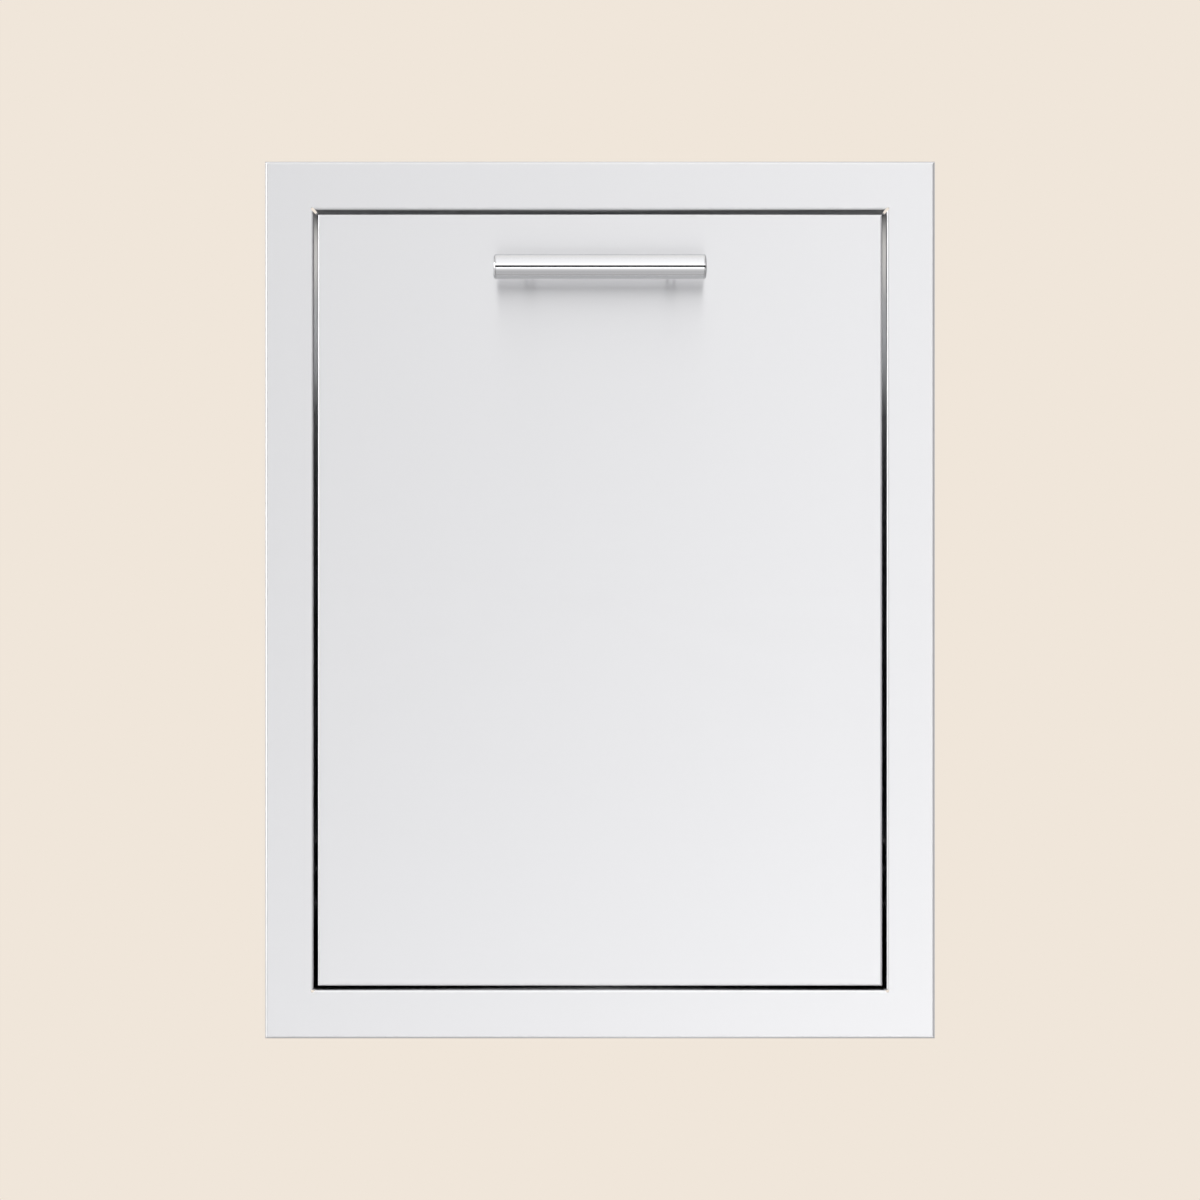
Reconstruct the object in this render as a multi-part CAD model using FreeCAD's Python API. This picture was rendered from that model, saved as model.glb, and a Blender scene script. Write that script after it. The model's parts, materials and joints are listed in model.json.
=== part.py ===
import FreeCAD, Part
import math
import os

# Double trash drawer for an outdoor kitchen island, in millimetres.
# X runs to the right, Y runs into the island, Z runs up.
# The origin is the middle of the face frame, on the plane of the island's face.

# Face frame: a sheet ring with a return to the island and a return into the opening
FACE_W = 514.35
FACE_H = 673.1
FACE_BORDER = 37.5
FACE_SHEET = 1.2
FACE_BEND = 1.0
FACE_STANDOFF = 12.7
OPENING_RETURN = 30.0
RELIEF_W = 2.2
RELIEF_REACH = 2.6

# Cabinet behind the frame: base, sides and back, open above the bins
CABINET_REAR_ROOM = 18.0
CABINET_SHEET = 1.0
CABINET_BEND = 1.0
CABINET_FLANGE = 15.0
FIXING_R = 2.75
FIXING_Y = 60.0
FIXING_Z = -110.0
FIXING_PITCH_Z = 330.0

# Runner brackets: hat sections that hold the slides off the cabinet sides
BRACKET_DEPTH = 8.0
BRACKET_SHEET = 1.5
BRACKET_BEND = 1.0
BRACKET_MARGIN = 2.3
BRACKET_FLANGE = 12.0
BRACKET_GAP = 4.7
BRACKET_OVERRUN = 2.0

# Three-part ball-bearing slides
SLIDE_LENGTH = 508.0
SLIDE_W = 12.7
SLIDE_H = 45.4
SLIDE_SHEET = 1.2
SLIDE_BEND = 0.6
SLIDE_SETBACK = 5.7
SLIDE_HEIGHT = 75.0
DRAWER_TRAVEL = 533.0
WEB_GAP = 0.4
FLANGE_GAP = 0.8
LIP_GAP = 0.5
STOP_LENGTH = 12.0
STOP_GAP = 0.5
BALL_R = 2.25
BALL_CLEAR = 0.1
BALLS_PER_ROW = 3
BALL_INSET = 8.0
BALL_SIDES = 8
BALL_BANDS = 4
RACE_DEPTH = 0.3
OUTER_BALL_U = 6.4
INNER_BALL_U = 8.0
CAGE_SHEET = 0.6
CAGE_EDGE = 0.75
CAGE_WINDOW_PLAY = 0.15
CAGE_END_GAP = 3.0

# Release levers on the inner slide members
LEVER_Y = 215.0
LEVER_LENGTH = 42.0
LEVER_T = 1.5
LEVER_PIVOT_R = 6.0
LEVER_TIP_R = 4.0
LEVER_END_SIDES = 6
LEVER_PLAY = 0.1
LEVER_BORE_PLAY = 0.05
PIVOT_R = 1.5
PIVOT_HEAD_R = 3.5
PIVOT_HEAD_H = 0.8

# Drawer front: an outer pan closed by a liner
FRONT_GAP = 3.0
FRONT_DEPTH = 19.0
FRONT_SHEET = 1.2
FRONT_BEND = 0.5
LINER_SHEET = 1.0
LINER_DEPTH = 12.0
LINER_BEND = 1.0
LINER_FIT = 0.2

# Bar handle on two posts
HANDLE_D = 19.05
HANDLE_WALL = 1.5
HANDLE_LENGTH = 161.0
HANDLE_PROJECTION = 32.0
HANDLE_DROP = 44.3
CAP_RISE = 2.2
CAP_SIDES = 24
CAP_BANDS = 3
CAP_SPIGOT = 8.0
CAP_FIT = 0.1
POST_D = 8.0
POST_INSET = 26.0
POST_THREAD_DEPTH = 12.0

# Bin tray carried between the slides
TRAY_OVERHANG = 3.8
TRAY_SHEET = 1.2
TRAY_BEND = 1.2
TRAY_WALL_H = 150.0
TRAY_HEM = 10.0
TRAY_LIFT = 12.0
TRAY_END_FLANGE = 12.0
DIVIDER_H = 60.0
DIVIDER_LIP = 10.0
BRACE_H = 450.0
BRACE_BASE_L = 180.0
BRACE_TOP_L = 32.0
BRACE_FLANGE = 14.0
BRACE_GAP = 5.0

# Moulded bins
BIN_RIM_W = 366.0
BIN_H = 470.0
BIN_WALL = 2.0
BIN_LIP = 9.0
BIN_SKIRT = 14.0
BIN_TAPER = 15.0
BIN_CORNER_R = 35.0
BIN_FOOT_BEVEL = 8.0
BIN_GAP = 5.0
BIN_END_ROOM = 7.7
RIM_GAP = 10.0

# Fasteners, drawn with few sides
FASTENER_SIDES = 8
HEXAGON = 6
HOLE_PLAY = 0.15
SCREWS_PER_SLIDE = 2
SCREW_INSET = 35.0
RUNNER_SCREW_R = 2.0
RUNNER_HEAD_R = 3.4
RUNNER_SCREW_ROOM = 1.2
M4_R = 2.0
M4_HEAD_R = 4.0
M4_HEAD_H = 2.4
M4_LENGTH = 6.0
M5_R = 2.5
M5_HEAD_R = 4.75
M5_HEAD_H = 3.0
M5_HEAD_FLATS = 8.0
M5_LENGTH = 8.0
FRONT_SCREW_INSET = 80.0
FRONT_SCREW_EDGE = 40.0
BRACE_SCREW_INSET = 7.6
BRACE_SCREW_LOW = 80.0
BRACE_SCREW_HIGH = 40.0

# Places worked out from the sizes above
Vec = FreeCAD.Vector
ORIGIN = Vec(0, 0, 0)
X_AXIS = Vec(1, 0, 0)
Y_AXIS = Vec(0, 1, 0)
Z_AXIS = Vec(0, 0, 1)
QUARTER_TURN = 90

opening_w = FACE_W - 2 * FACE_BORDER
opening_h = FACE_H - 2 * FACE_BORDER
face_y = -FACE_STANDOFF
return_end = face_y + OPENING_RETURN

side_inner = opening_w / 2 + FACE_SHEET
side_outer = side_inner + CABINET_SHEET
base_top = -opening_h / 2 - FACE_SHEET
cabinet_top = opening_h / 2 + FACE_SHEET

front_w = opening_w - 2 * FRONT_GAP
front_h = opening_h - 2 * FRONT_GAP
liner_rear = face_y + FRONT_DEPTH
handle_y = face_y - HANDLE_PROJECTION
handle_z = front_h / 2 - HANDLE_DROP
post_x = HANDLE_LENGTH / 2 - POST_INSET

slide_face = side_inner - BRACKET_DEPTH
slide_y = liner_rear + SLIDE_SETBACK
slide_end = slide_y + SLIDE_LENGTH
back_rear = slide_end + CABINET_REAR_ROOM + CABINET_SHEET
cabinet_depth = back_rear + CABINET_SHEET
bracket_y = return_end + BRACKET_GAP
bracket_web = SLIDE_H + 2 * BRACKET_MARGIN
tray_bottom = -opening_h / 2 + TRAY_LIFT
tray_floor = tray_bottom + TRAY_SHEET
tray_top = tray_bottom + TRAY_WALL_H
tray_half = slide_face - SLIDE_W
tray_inner = tray_half - TRAY_SHEET
slide_z = tray_bottom + SLIDE_HEIGHT
brace_top = tray_bottom + BRACE_H

# Slide section: u runs from the bracket to the tray, v runs up from the slide's centre line
outer_flange_v = SLIDE_H / 2
outer_ball_v = outer_flange_v - SLIDE_SHEET + RACE_DEPTH - BALL_R
middle_flange_v = outer_ball_v - BALL_R + RACE_DEPTH
inner_ball_v = middle_flange_v - SLIDE_SHEET + RACE_DEPTH - BALL_R
inner_flange_v = inner_ball_v - BALL_R + RACE_DEPTH
outer_cage_u = SLIDE_SHEET + WEB_GAP
middle_u = outer_cage_u + CAGE_SHEET + WEB_GAP
inner_cage_u = middle_u + SLIDE_SHEET + WEB_GAP
inner_flange_u = inner_cage_u + CAGE_SHEET + FLANGE_GAP
inner_web_u = SLIDE_W - SLIDE_SHEET
lip_u = inner_web_u - LIP_GAP
member_length = SLIDE_LENGTH - STOP_LENGTH - STOP_GAP
cage_length = member_length - DRAWER_TRAVEL / 2 - 2 * CAGE_END_GAP
cage_y = slide_y + member_length / 2 - cage_length / 2
lever_y = slide_y + LEVER_Y
lever_u = inner_web_u - LEVER_PLAY - LEVER_T

tray_end = slide_y + member_length + TRAY_OVERHANG
bins_start = return_end + BIN_GAP
bin_rim_l = (slide_end - BIN_END_ROOM - bins_start - RIM_GAP) / 2
bin_foot_w = BIN_RIM_W - 2 * BIN_LIP - 2 * BIN_TAPER
bin_foot_l = bin_rim_l - 2 * BIN_LIP - 2 * BIN_TAPER
bin_pitch = bin_rim_l + RIM_GAP
front_bin_y = bins_start + bin_rim_l / 2
rear_bin_y = front_bin_y + bin_pitch
divider_w = bin_pitch - bin_foot_l - 2 * BIN_GAP
divider_y = front_bin_y + bin_pitch / 2


def face_edge_path(points, offset, radius):
    """Points along one face of a bent sheet: its start, three for each bend, and its end."""
    path = []
    for i, point in enumerate(points):
        before = points[max(i - 1, 0)]
        after = points[min(i + 1, len(points) - 1)]
        if before is point or after is point:
            along = (after - before).normalize()
            path.append(point + Vec(-along.y, along.x, 0) * offset)
            continue
        into = (point - before).normalize()
        out = (after - point).normalize()
        turn = math.copysign(1, into.cross(out).z)
        setback = radius * math.tan(into.getAngle(out) / 2)
        start = point - into * setback
        end = point + out * setback
        into_left = Vec(-into.y, into.x, 0)
        out_left = Vec(-out.y, out.x, 0)
        centre = start + into_left * turn * radius
        middle = centre + (point - centre).normalize() * (radius - turn * offset)
        path += [start + into_left * offset, middle, end + out_left * offset]
    return path


def bent_sheet(line, sheet, bend, place, sweep):
    """A sheet folded along a 2-D middle line with an inside radius of `bend`, swept in a straight line."""
    points = [Vec(a, b, 0) for a, b in line]
    sides = []
    edges = []
    for offset in (sheet / 2, -sheet / 2):
        path = face_edge_path(points, offset, bend + sheet / 2)
        path = [place(point.x, point.y) for point in path]
        sides.append(path)
        for i in range(0, len(path) - 1, 3):
            edges.append(Part.LineSegment(path[i], path[i + 1]).toShape())
        for i in range(1, len(path) - 1, 3):
            edges.append(Part.Arc(path[i], path[i + 1], path[i + 2]).toShape())
    for end in (0, -1):
        edges.append(Part.LineSegment(sides[0][end], sides[1][end]).toShape())
    outline = Part.Wire(Part.__sortEdges__(edges))
    return Part.Face(outline).extrude(sweep)


def prism(points, sweep):
    """A straight-sided solid from a closed list of corners."""
    return Part.Face(Part.makePolygon(points + points[:1])).extrude(sweep)


def cylinder(radius, start, end):
    """A round bar between two points."""
    return Part.makeCylinder(radius, (end - start).Length, start, end - start)


def polygon(radius, centre, axis, sides):
    """The corners of a regular outline square to an axis along X or Y."""
    across = axis.cross(Z_AXIS).normalize()
    corners = []
    for i in range(sides):
        angle = 2 * math.pi * i / sides
        corners.append(centre + across * radius * math.cos(angle) + Z_AXIS * radius * math.sin(angle))
    return corners


def fastener_bar(radius, start, end, sides=FASTENER_SIDES):
    """A plain bar of a fastener, or the hole for one."""
    return prism(polygon(radius, start, end - start, sides), end - start)


def flat_face(corners):
    """A flat facet; corners that fall together count once."""
    points = [corner for i, corner in enumerate(corners) if corner is not corners[i - 1]]
    return Part.Face(Part.makePolygon(points + points[:1]))


def faceted(rings):
    """A solid with flat facets through a row of like outlines; an end may be a single point."""
    faces = [flat_face(ring) for ring in (rings[0], rings[-1]) if len(ring) > 1]
    for low, high in zip(rings, rings[1:]):
        sides = max(len(low), len(high))
        for i in range(sides):
            after = (i + 1) % sides
            lower = [low[i % len(low)], low[after % len(low)]]
            upper = [high[after % len(high)], high[i % len(high)]]
            faces.append(flat_face(lower + upper))
    return Part.makeSolid(Part.makeShell(faces))


def mirrored(shape):
    """The left-hand piece that matches a right-hand one."""
    return shape.mirror(ORIGIN, X_AXIS)


def rounded_outline(width, length, radius, centre):
    """A level rectangle with round corners."""
    edges = []
    for turn in range(4):
        across, along = (width / 2, length / 2) if turn % 2 == 0 else (length / 2, width / 2)
        side = Part.LineSegment(Vec(radius - across, -along, 0), Vec(across - radius, -along, 0))
        inset = radius * (1 - math.sqrt(0.5))
        corner = Part.Arc(
            Vec(across - radius, -along, 0),
            Vec(across - inset, inset - along, 0),
            Vec(across, radius - along, 0),
        )
        for curve in (side, corner):
            edges.append(curve.toShape().rotated(ORIGIN, Z_AXIS, QUARTER_TURN * turn))
    return Part.Wire(edges).translated(centre)


# Face frame

def frame_member(length, reach):
    """One side of the frame as a channel along X above the centre, with its ends mitred."""
    outer = reach / 2 - FACE_SHEET / 2
    inner = reach / 2 - FACE_BORDER + FACE_SHEET / 2
    front = face_y + FACE_SHEET / 2
    channel = bent_sheet(
        [(0, outer), (front, outer), (front, inner), (return_end, inner)],
        FACE_SHEET,
        FACE_BEND,
        lambda y, z: Vec(-length / 2, y, z),
        Vec(length, 0, 0),
    )
    cut_in = 2 * FACE_BORDER
    mitre = [
        Vec(-length / 2, face_y, reach / 2),
        Vec(length / 2, face_y, reach / 2),
        Vec(length / 2 - cut_in, face_y, reach / 2 - cut_in),
        Vec(-length / 2 + cut_in, face_y, reach / 2 - cut_in),
    ]
    return channel.common(prism(mitre, Vec(0, OPENING_RETURN, 0)))


def corner_relief(side, level):
    """The round-ended slit that parts two opening returns at one corner."""
    end_x = RELIEF_REACH - RELIEF_W / 2
    slit = Part.makeBox(
        RELIEF_REACH + end_x, OPENING_RETURN, RELIEF_W, Vec(-RELIEF_REACH, face_y, -RELIEF_W / 2)
    )
    round_end = Part.makeCylinder(RELIEF_W / 2, OPENING_RETURN, Vec(end_x, face_y, 0), Y_AXIS)
    slit = slit.fuse(round_end)
    slit.rotate(ORIGIN, Y_AXIS, math.degrees(math.atan2(-level, side)))
    return slit.translated(Vec(side * opening_w / 2, 0, level * opening_h / 2))


def face_frame():
    members = []
    for turn in range(4):
        length, reach = (FACE_W, FACE_H) if turn % 2 == 0 else (FACE_H, FACE_W)
        members.append(frame_member(length, reach).rotated(ORIGIN, Y_AXIS, QUARTER_TURN * turn))
    ring = members[0].fuse(members[1:]).removeSplitter()
    return ring.cut([corner_relief(side, level) for side in (-1, 1) for level in (-1, 1)])


# Cabinet

def cabinet_base():
    """A floor with its edges turned up outside the side panels."""
    wall = side_outer + CABINET_SHEET / 2
    floor = base_top - CABINET_SHEET / 2
    lip = base_top - CABINET_SHEET + CABINET_FLANGE
    return bent_sheet(
        [(-wall, lip), (-wall, floor), (wall, floor), (wall, lip)],
        CABINET_SHEET,
        CABINET_BEND,
        lambda x, z: Vec(x, 0, z),
        Vec(0, cabinet_depth, 0),
    )


def cabinet_right_side():
    """A panel with inward flanges along its top and rear edges and holes for the fixing screws."""
    wall = side_outer - CABINET_SHEET / 2
    bottom = base_top + CABINET_BEND
    fold = CABINET_SHEET + CABINET_BEND
    flat_top = cabinet_top - CABINET_BEND
    panel = Part.makeBox(CABINET_SHEET, cabinet_depth - fold, flat_top - bottom, Vec(side_inner, 0, bottom))
    top = cabinet_top + CABINET_SHEET / 2
    top_flange = bent_sheet(
        [(wall, bottom), (wall, top), (side_outer - CABINET_FLANGE, top)],
        CABINET_SHEET,
        CABINET_BEND,
        lambda x, z: Vec(x, return_end, z),
        Vec(0, cabinet_depth - fold - return_end, 0),
    )
    rear = cabinet_depth - CABINET_SHEET / 2
    rear_flange = bent_sheet(
        [(wall, 0), (wall, rear), (side_outer - CABINET_FLANGE, rear)],
        CABINET_SHEET,
        CABINET_BEND,
        lambda x, y: Vec(x, y, bottom),
        Vec(0, 0, flat_top - bottom),
    )
    holes = []
    for z in (FIXING_Z, FIXING_Z + FIXING_PITCH_Z):
        holes.append(cylinder(FIXING_R, Vec(side_inner, FIXING_Y, z), Vec(side_outer, FIXING_Y, z)))
    return panel.fuse([top_flange, rear_flange]).removeSplitter().cut(holes)


def cabinet_back():
    """A panel in front of the sides' rear flanges, with flanges of its own above and below."""
    half = side_inner - CABINET_BEND
    wall = back_rear - CABINET_SHEET / 2
    flange = back_rear - CABINET_FLANGE
    floor = base_top + CABINET_SHEET / 2
    top = cabinet_top - CABINET_SHEET / 2
    return bent_sheet(
        [(flange, floor), (wall, floor), (wall, top), (flange, top)],
        CABINET_SHEET,
        CABINET_BEND,
        lambda y, z: Vec(-half, y, z),
        Vec(2 * half, 0, 0),
    )


def runner_bracket():
    """A hat section on the side panel, with its web facing the slide."""
    seat = side_inner - BRACKET_SHEET / 2
    web = slide_face + BRACKET_SHEET / 2
    low = slide_z - bracket_web / 2 + BRACKET_SHEET / 2
    high = slide_z + bracket_web / 2 - BRACKET_SHEET / 2
    hat = bent_sheet(
        [
            (seat, low - BRACKET_FLANGE),
            (seat, low),
            (web, low),
            (web, high),
            (seat, high),
            (seat, high + BRACKET_FLANGE),
        ],
        BRACKET_SHEET,
        BRACKET_BEND,
        lambda x, z: Vec(x, bracket_y, z),
        Vec(0, slide_end + BRACKET_OVERRUN - bracket_y, 0),
    )
    holes = []
    for y in screw_ys():
        holes.append(fastener_bar(RUNNER_SCREW_R, slide_point(0, 0, y), slide_point(-BRACKET_SHEET, 0, y)))
    return hat.cut(holes)


# Ball-bearing slides, right-hand side

def slide_point(u, v, y):
    """A point of the right-hand slide in the model's frame."""
    return Vec(slide_face - u, y, slide_z + v)


def screw_ys():
    """Places of the screws along each slide member."""
    last = member_length - 2 * SCREW_INSET
    return [slide_y + SCREW_INSET + last * i / (SCREWS_PER_SLIDE - 1) for i in range(SCREWS_PER_SLIDE)]


def slide_member(web_u, edge_u, flange_v, length, ball_rows):
    """A channel with its web at web_u, its flanges running to edge_u, and grooves for the balls."""
    flange = flange_v - SLIDE_SHEET / 2
    channel = bent_sheet(
        [(edge_u, -flange), (web_u, -flange), (web_u, flange), (edge_u, flange)],
        SLIDE_SHEET,
        SLIDE_BEND,
        lambda u, v: slide_point(u, v, slide_y),
        Vec(0, length, 0),
    )
    grooves = []
    for ball_u, ball_v in ball_rows:
        for v in (-ball_v, ball_v):
            start = slide_point(ball_u, v, slide_y)
            grooves.append(cylinder(BALL_R + BALL_CLEAR, start, start + Vec(0, length, 0)))
    return channel.cut(grooves)


def countersunk(y, play):
    """The tapered head of a runner screw in the outer member's web."""
    axis = slide_point(1, 0, y) - slide_point(0, 0, y)
    return faceted([
        polygon(RUNNER_SCREW_R + play, slide_point(0, 0, y), axis, FASTENER_SIDES),
        polygon(RUNNER_HEAD_R + play, slide_point(SLIDE_SHEET, 0, y), axis, FASTENER_SIDES),
    ])


def slide_outer():
    web = SLIDE_SHEET / 2
    member = slide_member(web, lip_u, outer_flange_v, SLIDE_LENGTH, [(OUTER_BALL_U, outer_ball_v)])
    return member.cut([countersunk(y, HOLE_PLAY) for y in screw_ys()])


def slide_middle():
    ball_rows = [(OUTER_BALL_U, outer_ball_v), (INNER_BALL_U, inner_ball_v)]
    return slide_member(middle_u + SLIDE_SHEET / 2, lip_u, middle_flange_v, member_length, ball_rows)


def slide_inner():
    web = inner_web_u + SLIDE_SHEET / 2
    ball_rows = [(INNER_BALL_U, inner_ball_v)]
    member = slide_member(web, inner_flange_u, inner_flange_v, member_length, ball_rows)
    return member.cut(tray_screw_holes(inner_web_u, SLIDE_W))


def tray_screw_holes(start_u, end_u):
    """Clearance holes for the screws between the inner member and the tray wall."""
    holes = []
    for y in screw_ys():
        holes.append(fastener_bar(M4_R + HOLE_PLAY, slide_point(start_u, 0, y), slide_point(end_u, 0, y)))
    return holes


def ball_ys():
    """Places of the balls along a cage."""
    step = (cage_length - 2 * BALL_INSET) / (BALLS_PER_ROW - 1)
    return [cage_y + BALL_INSET + i * step for i in range(BALLS_PER_ROW)]


def ball_cage(web_u, ball_u, ball_v):
    """A thin stamped channel with a window for each ball."""
    edge = ball_u + BALL_R + CAGE_EDGE
    half = ball_v + CAGE_SHEET / 2
    inner_half = half - CAGE_SHEET
    window = 2 * (BALL_R + CAGE_WINDOW_PLAY)
    strip = Part.makeBox(edge - web_u, cage_length, 2 * half, slide_point(edge, -half, cage_y))
    cuts = [
        Part.makeBox(
            edge - web_u - CAGE_SHEET, cage_length, 2 * inner_half, slide_point(edge, -inner_half, cage_y)
        )
    ]
    for y in ball_ys():
        corner = slide_point(ball_u + window / 2, -half, y - window / 2)
        cuts.append(Part.makeBox(window, window, 2 * half, corner))
    return strip.cut(cuts)


def ball(centre):
    """A bearing ball with few facets."""
    step = math.pi / BALL_BANDS
    rings = []
    for band in range(1, BALL_BANDS):
        middle = centre - Y_AXIS * BALL_R * math.cos(band * step)
        rings.append(polygon(BALL_R * math.sin(band * step), middle, Y_AXIS, BALL_SIDES))
    return faceted([[centre - Y_AXIS * BALL_R]] + rings + [[centre + Y_AXIS * BALL_R]])


def balls(ball_u, ball_v):
    """The two rows of balls in one cage."""
    rows = [ball(slide_point(ball_u, v, y)) for v in (-ball_v, ball_v) for y in ball_ys()]
    return Part.makeCompound(rows)


def slide_stop():
    """The buffer at the rear of the outer member that the moving members close against."""
    half = outer_flange_v - SLIDE_SHEET - SLIDE_BEND
    corner = slide_point(lip_u, -half, slide_end - STOP_LENGTH)
    return Part.makeBox(lip_u - SLIDE_SHEET, STOP_LENGTH, 2 * half, corner)


def runner_screws():
    """Flat-head screws from the outer member into the bracket."""
    screws = []
    tip_u = RUNNER_SCREW_ROOM - BRACKET_DEPTH
    for y in screw_ys():
        shank = fastener_bar(RUNNER_SCREW_R, slide_point(0, 0, y), slide_point(tip_u, 0, y))
        screws.append(countersunk(y, 0).fuse(shank))
    return screws


def tray_screws():
    """Pan-head screws from the inner member's channel through the tray wall."""
    screws = []
    for y in screw_ys():
        seat = slide_point(inner_web_u, 0, y)
        head = fastener_bar(M4_HEAD_R, slide_point(inner_web_u - M4_HEAD_H, 0, y), seat)
        screws.append(head.fuse(fastener_bar(M4_R, seat, slide_point(inner_web_u + M4_LENGTH, 0, y))))
    return screws


def release_lever():
    """A tapered finger lever that pivots in the inner member's channel."""
    outline = []
    for radius, along, turn in ((LEVER_PIVOT_R, 0, 1), (LEVER_TIP_R, LEVER_LENGTH, -1)):
        for i in range(LEVER_END_SIDES + 1):
            angle = turn * math.pi / 2 + math.pi * i / LEVER_END_SIDES
            y = lever_y + along + radius * math.cos(angle)
            outline.append(slide_point(lever_u, radius * math.sin(angle), y))
    pivot = slide_point(lever_u, 0, lever_y)
    thickness = Vec(-LEVER_T, 0, 0)
    return prism(outline, thickness).cut(cylinder(PIVOT_R + LEVER_BORE_PLAY, pivot, pivot + thickness))


def lever_pivot():
    """The headed stud on the inner member's web that a release lever turns on."""
    seat = slide_point(lever_u - LEVER_PLAY, 0, lever_y)
    head = fastener_bar(PIVOT_HEAD_R, slide_point(lever_u - LEVER_PLAY - PIVOT_HEAD_H, 0, lever_y), seat)
    return head.fuse(cylinder(PIVOT_R, seat, slide_point(inner_web_u, 0, lever_y)))


# Drawer front and handle

def rounded_block(width, height, front, depth, radius):
    """A block whose four front edges are rounded and meet in mitres."""
    box = Part.makeBox(width, depth, height, Vec(-width / 2, front, -height / 2))
    rim = [edge for edge in box.Edges if edge.BoundBox.YMax < front + depth / 2]
    level = [edge for edge in rim if edge.BoundBox.XLength > edge.BoundBox.ZLength]
    upright = [edge for edge in rim if edge.BoundBox.XLength < edge.BoundBox.ZLength]
    return box.makeFillet(radius, level).common(box.makeFillet(radius, upright))


def drawer_front():
    """The outer pan, its four edges folded back and welded at the corners."""
    outside = rounded_block(front_w, front_h, face_y, FRONT_DEPTH, FRONT_BEND + FRONT_SHEET)
    hollow = rounded_block(
        front_w - 2 * FRONT_SHEET, front_h - 2 * FRONT_SHEET, face_y + FRONT_SHEET, FRONT_DEPTH, FRONT_BEND
    )
    holes = []
    for x in (-post_x, post_x):
        hole_start = Vec(x, face_y, handle_z)
        holes.append(fastener_bar(M5_R + HOLE_PLAY, hole_start, hole_start + Vec(0, FRONT_SHEET, 0)))
    return outside.cut([hollow] + holes)


def front_screw_places():
    """Where the screws pass from the tray's front wall and the braces into the liner."""
    places = []
    for side in (-1, 1):
        for z in (tray_bottom + FRONT_SCREW_EDGE, tray_top - FRONT_SCREW_EDGE):
            places.append((side * (tray_half - FRONT_SCREW_INSET), z))
        for z in (tray_top + BRACE_SCREW_LOW, brace_top - BRACE_SCREW_HIGH):
            places.append((side * (tray_half + BRACE_SCREW_INSET), z))
    return places


def front_screw_holes():
    """Clearance holes for those screws, through the liner and what is screwed to it."""
    holes = []
    for x, z in front_screw_places():
        start = Vec(x, liner_rear - LINER_SHEET, z)
        holes.append(fastener_bar(M5_R + HOLE_PLAY, start, Vec(x, liner_rear + TRAY_SHEET, z)))
    return holes


def drawer_front_liner():
    """The sheet that closes the front's back, with its top and bottom edges folded forward."""
    half_w = front_w / 2 - FRONT_SHEET - LINER_FIT
    half_h = front_h / 2 - FRONT_SHEET - LINER_FIT - LINER_SHEET / 2
    wall = liner_rear - LINER_SHEET / 2
    edge = liner_rear - LINER_DEPTH
    sheet = bent_sheet(
        [(edge, -half_h), (wall, -half_h), (wall, half_h), (edge, half_h)],
        LINER_SHEET,
        LINER_BEND,
        lambda y, z: Vec(-half_w, y, z),
        Vec(2 * half_w, 0, 0),
    )
    return sheet.cut(front_screw_holes())


def front_screws():
    """Hexagon-head screws that hold the tray and its braces to the front."""
    screws = []
    head_r = M5_HEAD_FLATS / 2 / math.cos(math.pi / HEXAGON)
    for x, z in front_screw_places():
        seat = Vec(x, liner_rear + TRAY_SHEET, z)
        head = fastener_bar(head_r, seat + Vec(0, M5_HEAD_H, 0), seat, HEXAGON)
        screws.append(head.fuse(fastener_bar(M5_R, seat, seat - Vec(0, M5_LENGTH, 0))))
    return screws


def handle_bar():
    """A round tube between the two end caps."""
    end = Vec(HANDLE_LENGTH / 2 - CAP_RISE, handle_y, handle_z)
    start = Vec(-end.x, handle_y, handle_z)
    return cylinder(HANDLE_D / 2, start, end).cut(cylinder(HANDLE_D / 2 - HANDLE_WALL, start, end))


def handle_cap():
    """A domed end for the bar, with a spigot that plugs into the tube."""
    radius = HANDLE_D / 2
    spigot = radius - HANDLE_WALL - CAP_FIT
    seat = Vec(HANDLE_LENGTH / 2 - CAP_RISE, handle_y, handle_z)
    dome_r = (radius ** 2 + CAP_RISE ** 2) / (2 * CAP_RISE)
    centre = seat + Vec(CAP_RISE - dome_r, 0, 0)
    rings = []
    for band in range(CAP_BANDS):
        angle = math.asin(radius / dome_r) * (1 - band / CAP_BANDS)
        middle = centre + X_AXIS * dome_r * math.cos(angle)
        rings.append(polygon(dome_r * math.sin(angle), middle, X_AXIS, CAP_SIDES))
    dome = faceted(rings + [[centre + X_AXIS * dome_r]])
    return dome.fuse(cylinder(spigot, seat, seat - Vec(CAP_SPIGOT, 0, 0)))


def handle_post():
    """A round post coped to the bar, tapped for the screw behind the panel."""
    foot = Vec(post_x, face_y, handle_z)
    axis = Vec(-HANDLE_LENGTH / 2, handle_y, handle_z)
    bar = cylinder(HANDLE_D / 2, axis, axis + Vec(HANDLE_LENGTH, 0, 0))
    thread = fastener_bar(M5_R, foot, foot - Vec(0, POST_THREAD_DEPTH, 0))
    return cylinder(POST_D / 2, foot, foot - Vec(0, HANDLE_PROJECTION, 0)).cut([bar, thread])


def handle_screws():
    """Pan-head screws inside the front that draw the posts to it."""
    screws = []
    for x in (-post_x, post_x):
        seat = Vec(x, face_y + FRONT_SHEET, handle_z)
        head = fastener_bar(M5_HEAD_R, seat + Vec(0, M5_HEAD_H, 0), seat)
        screws.append(head.fuse(fastener_bar(M5_R, seat, Vec(x, face_y - POST_THREAD_DEPTH, handle_z))))
    return screws


# Bin tray

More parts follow.
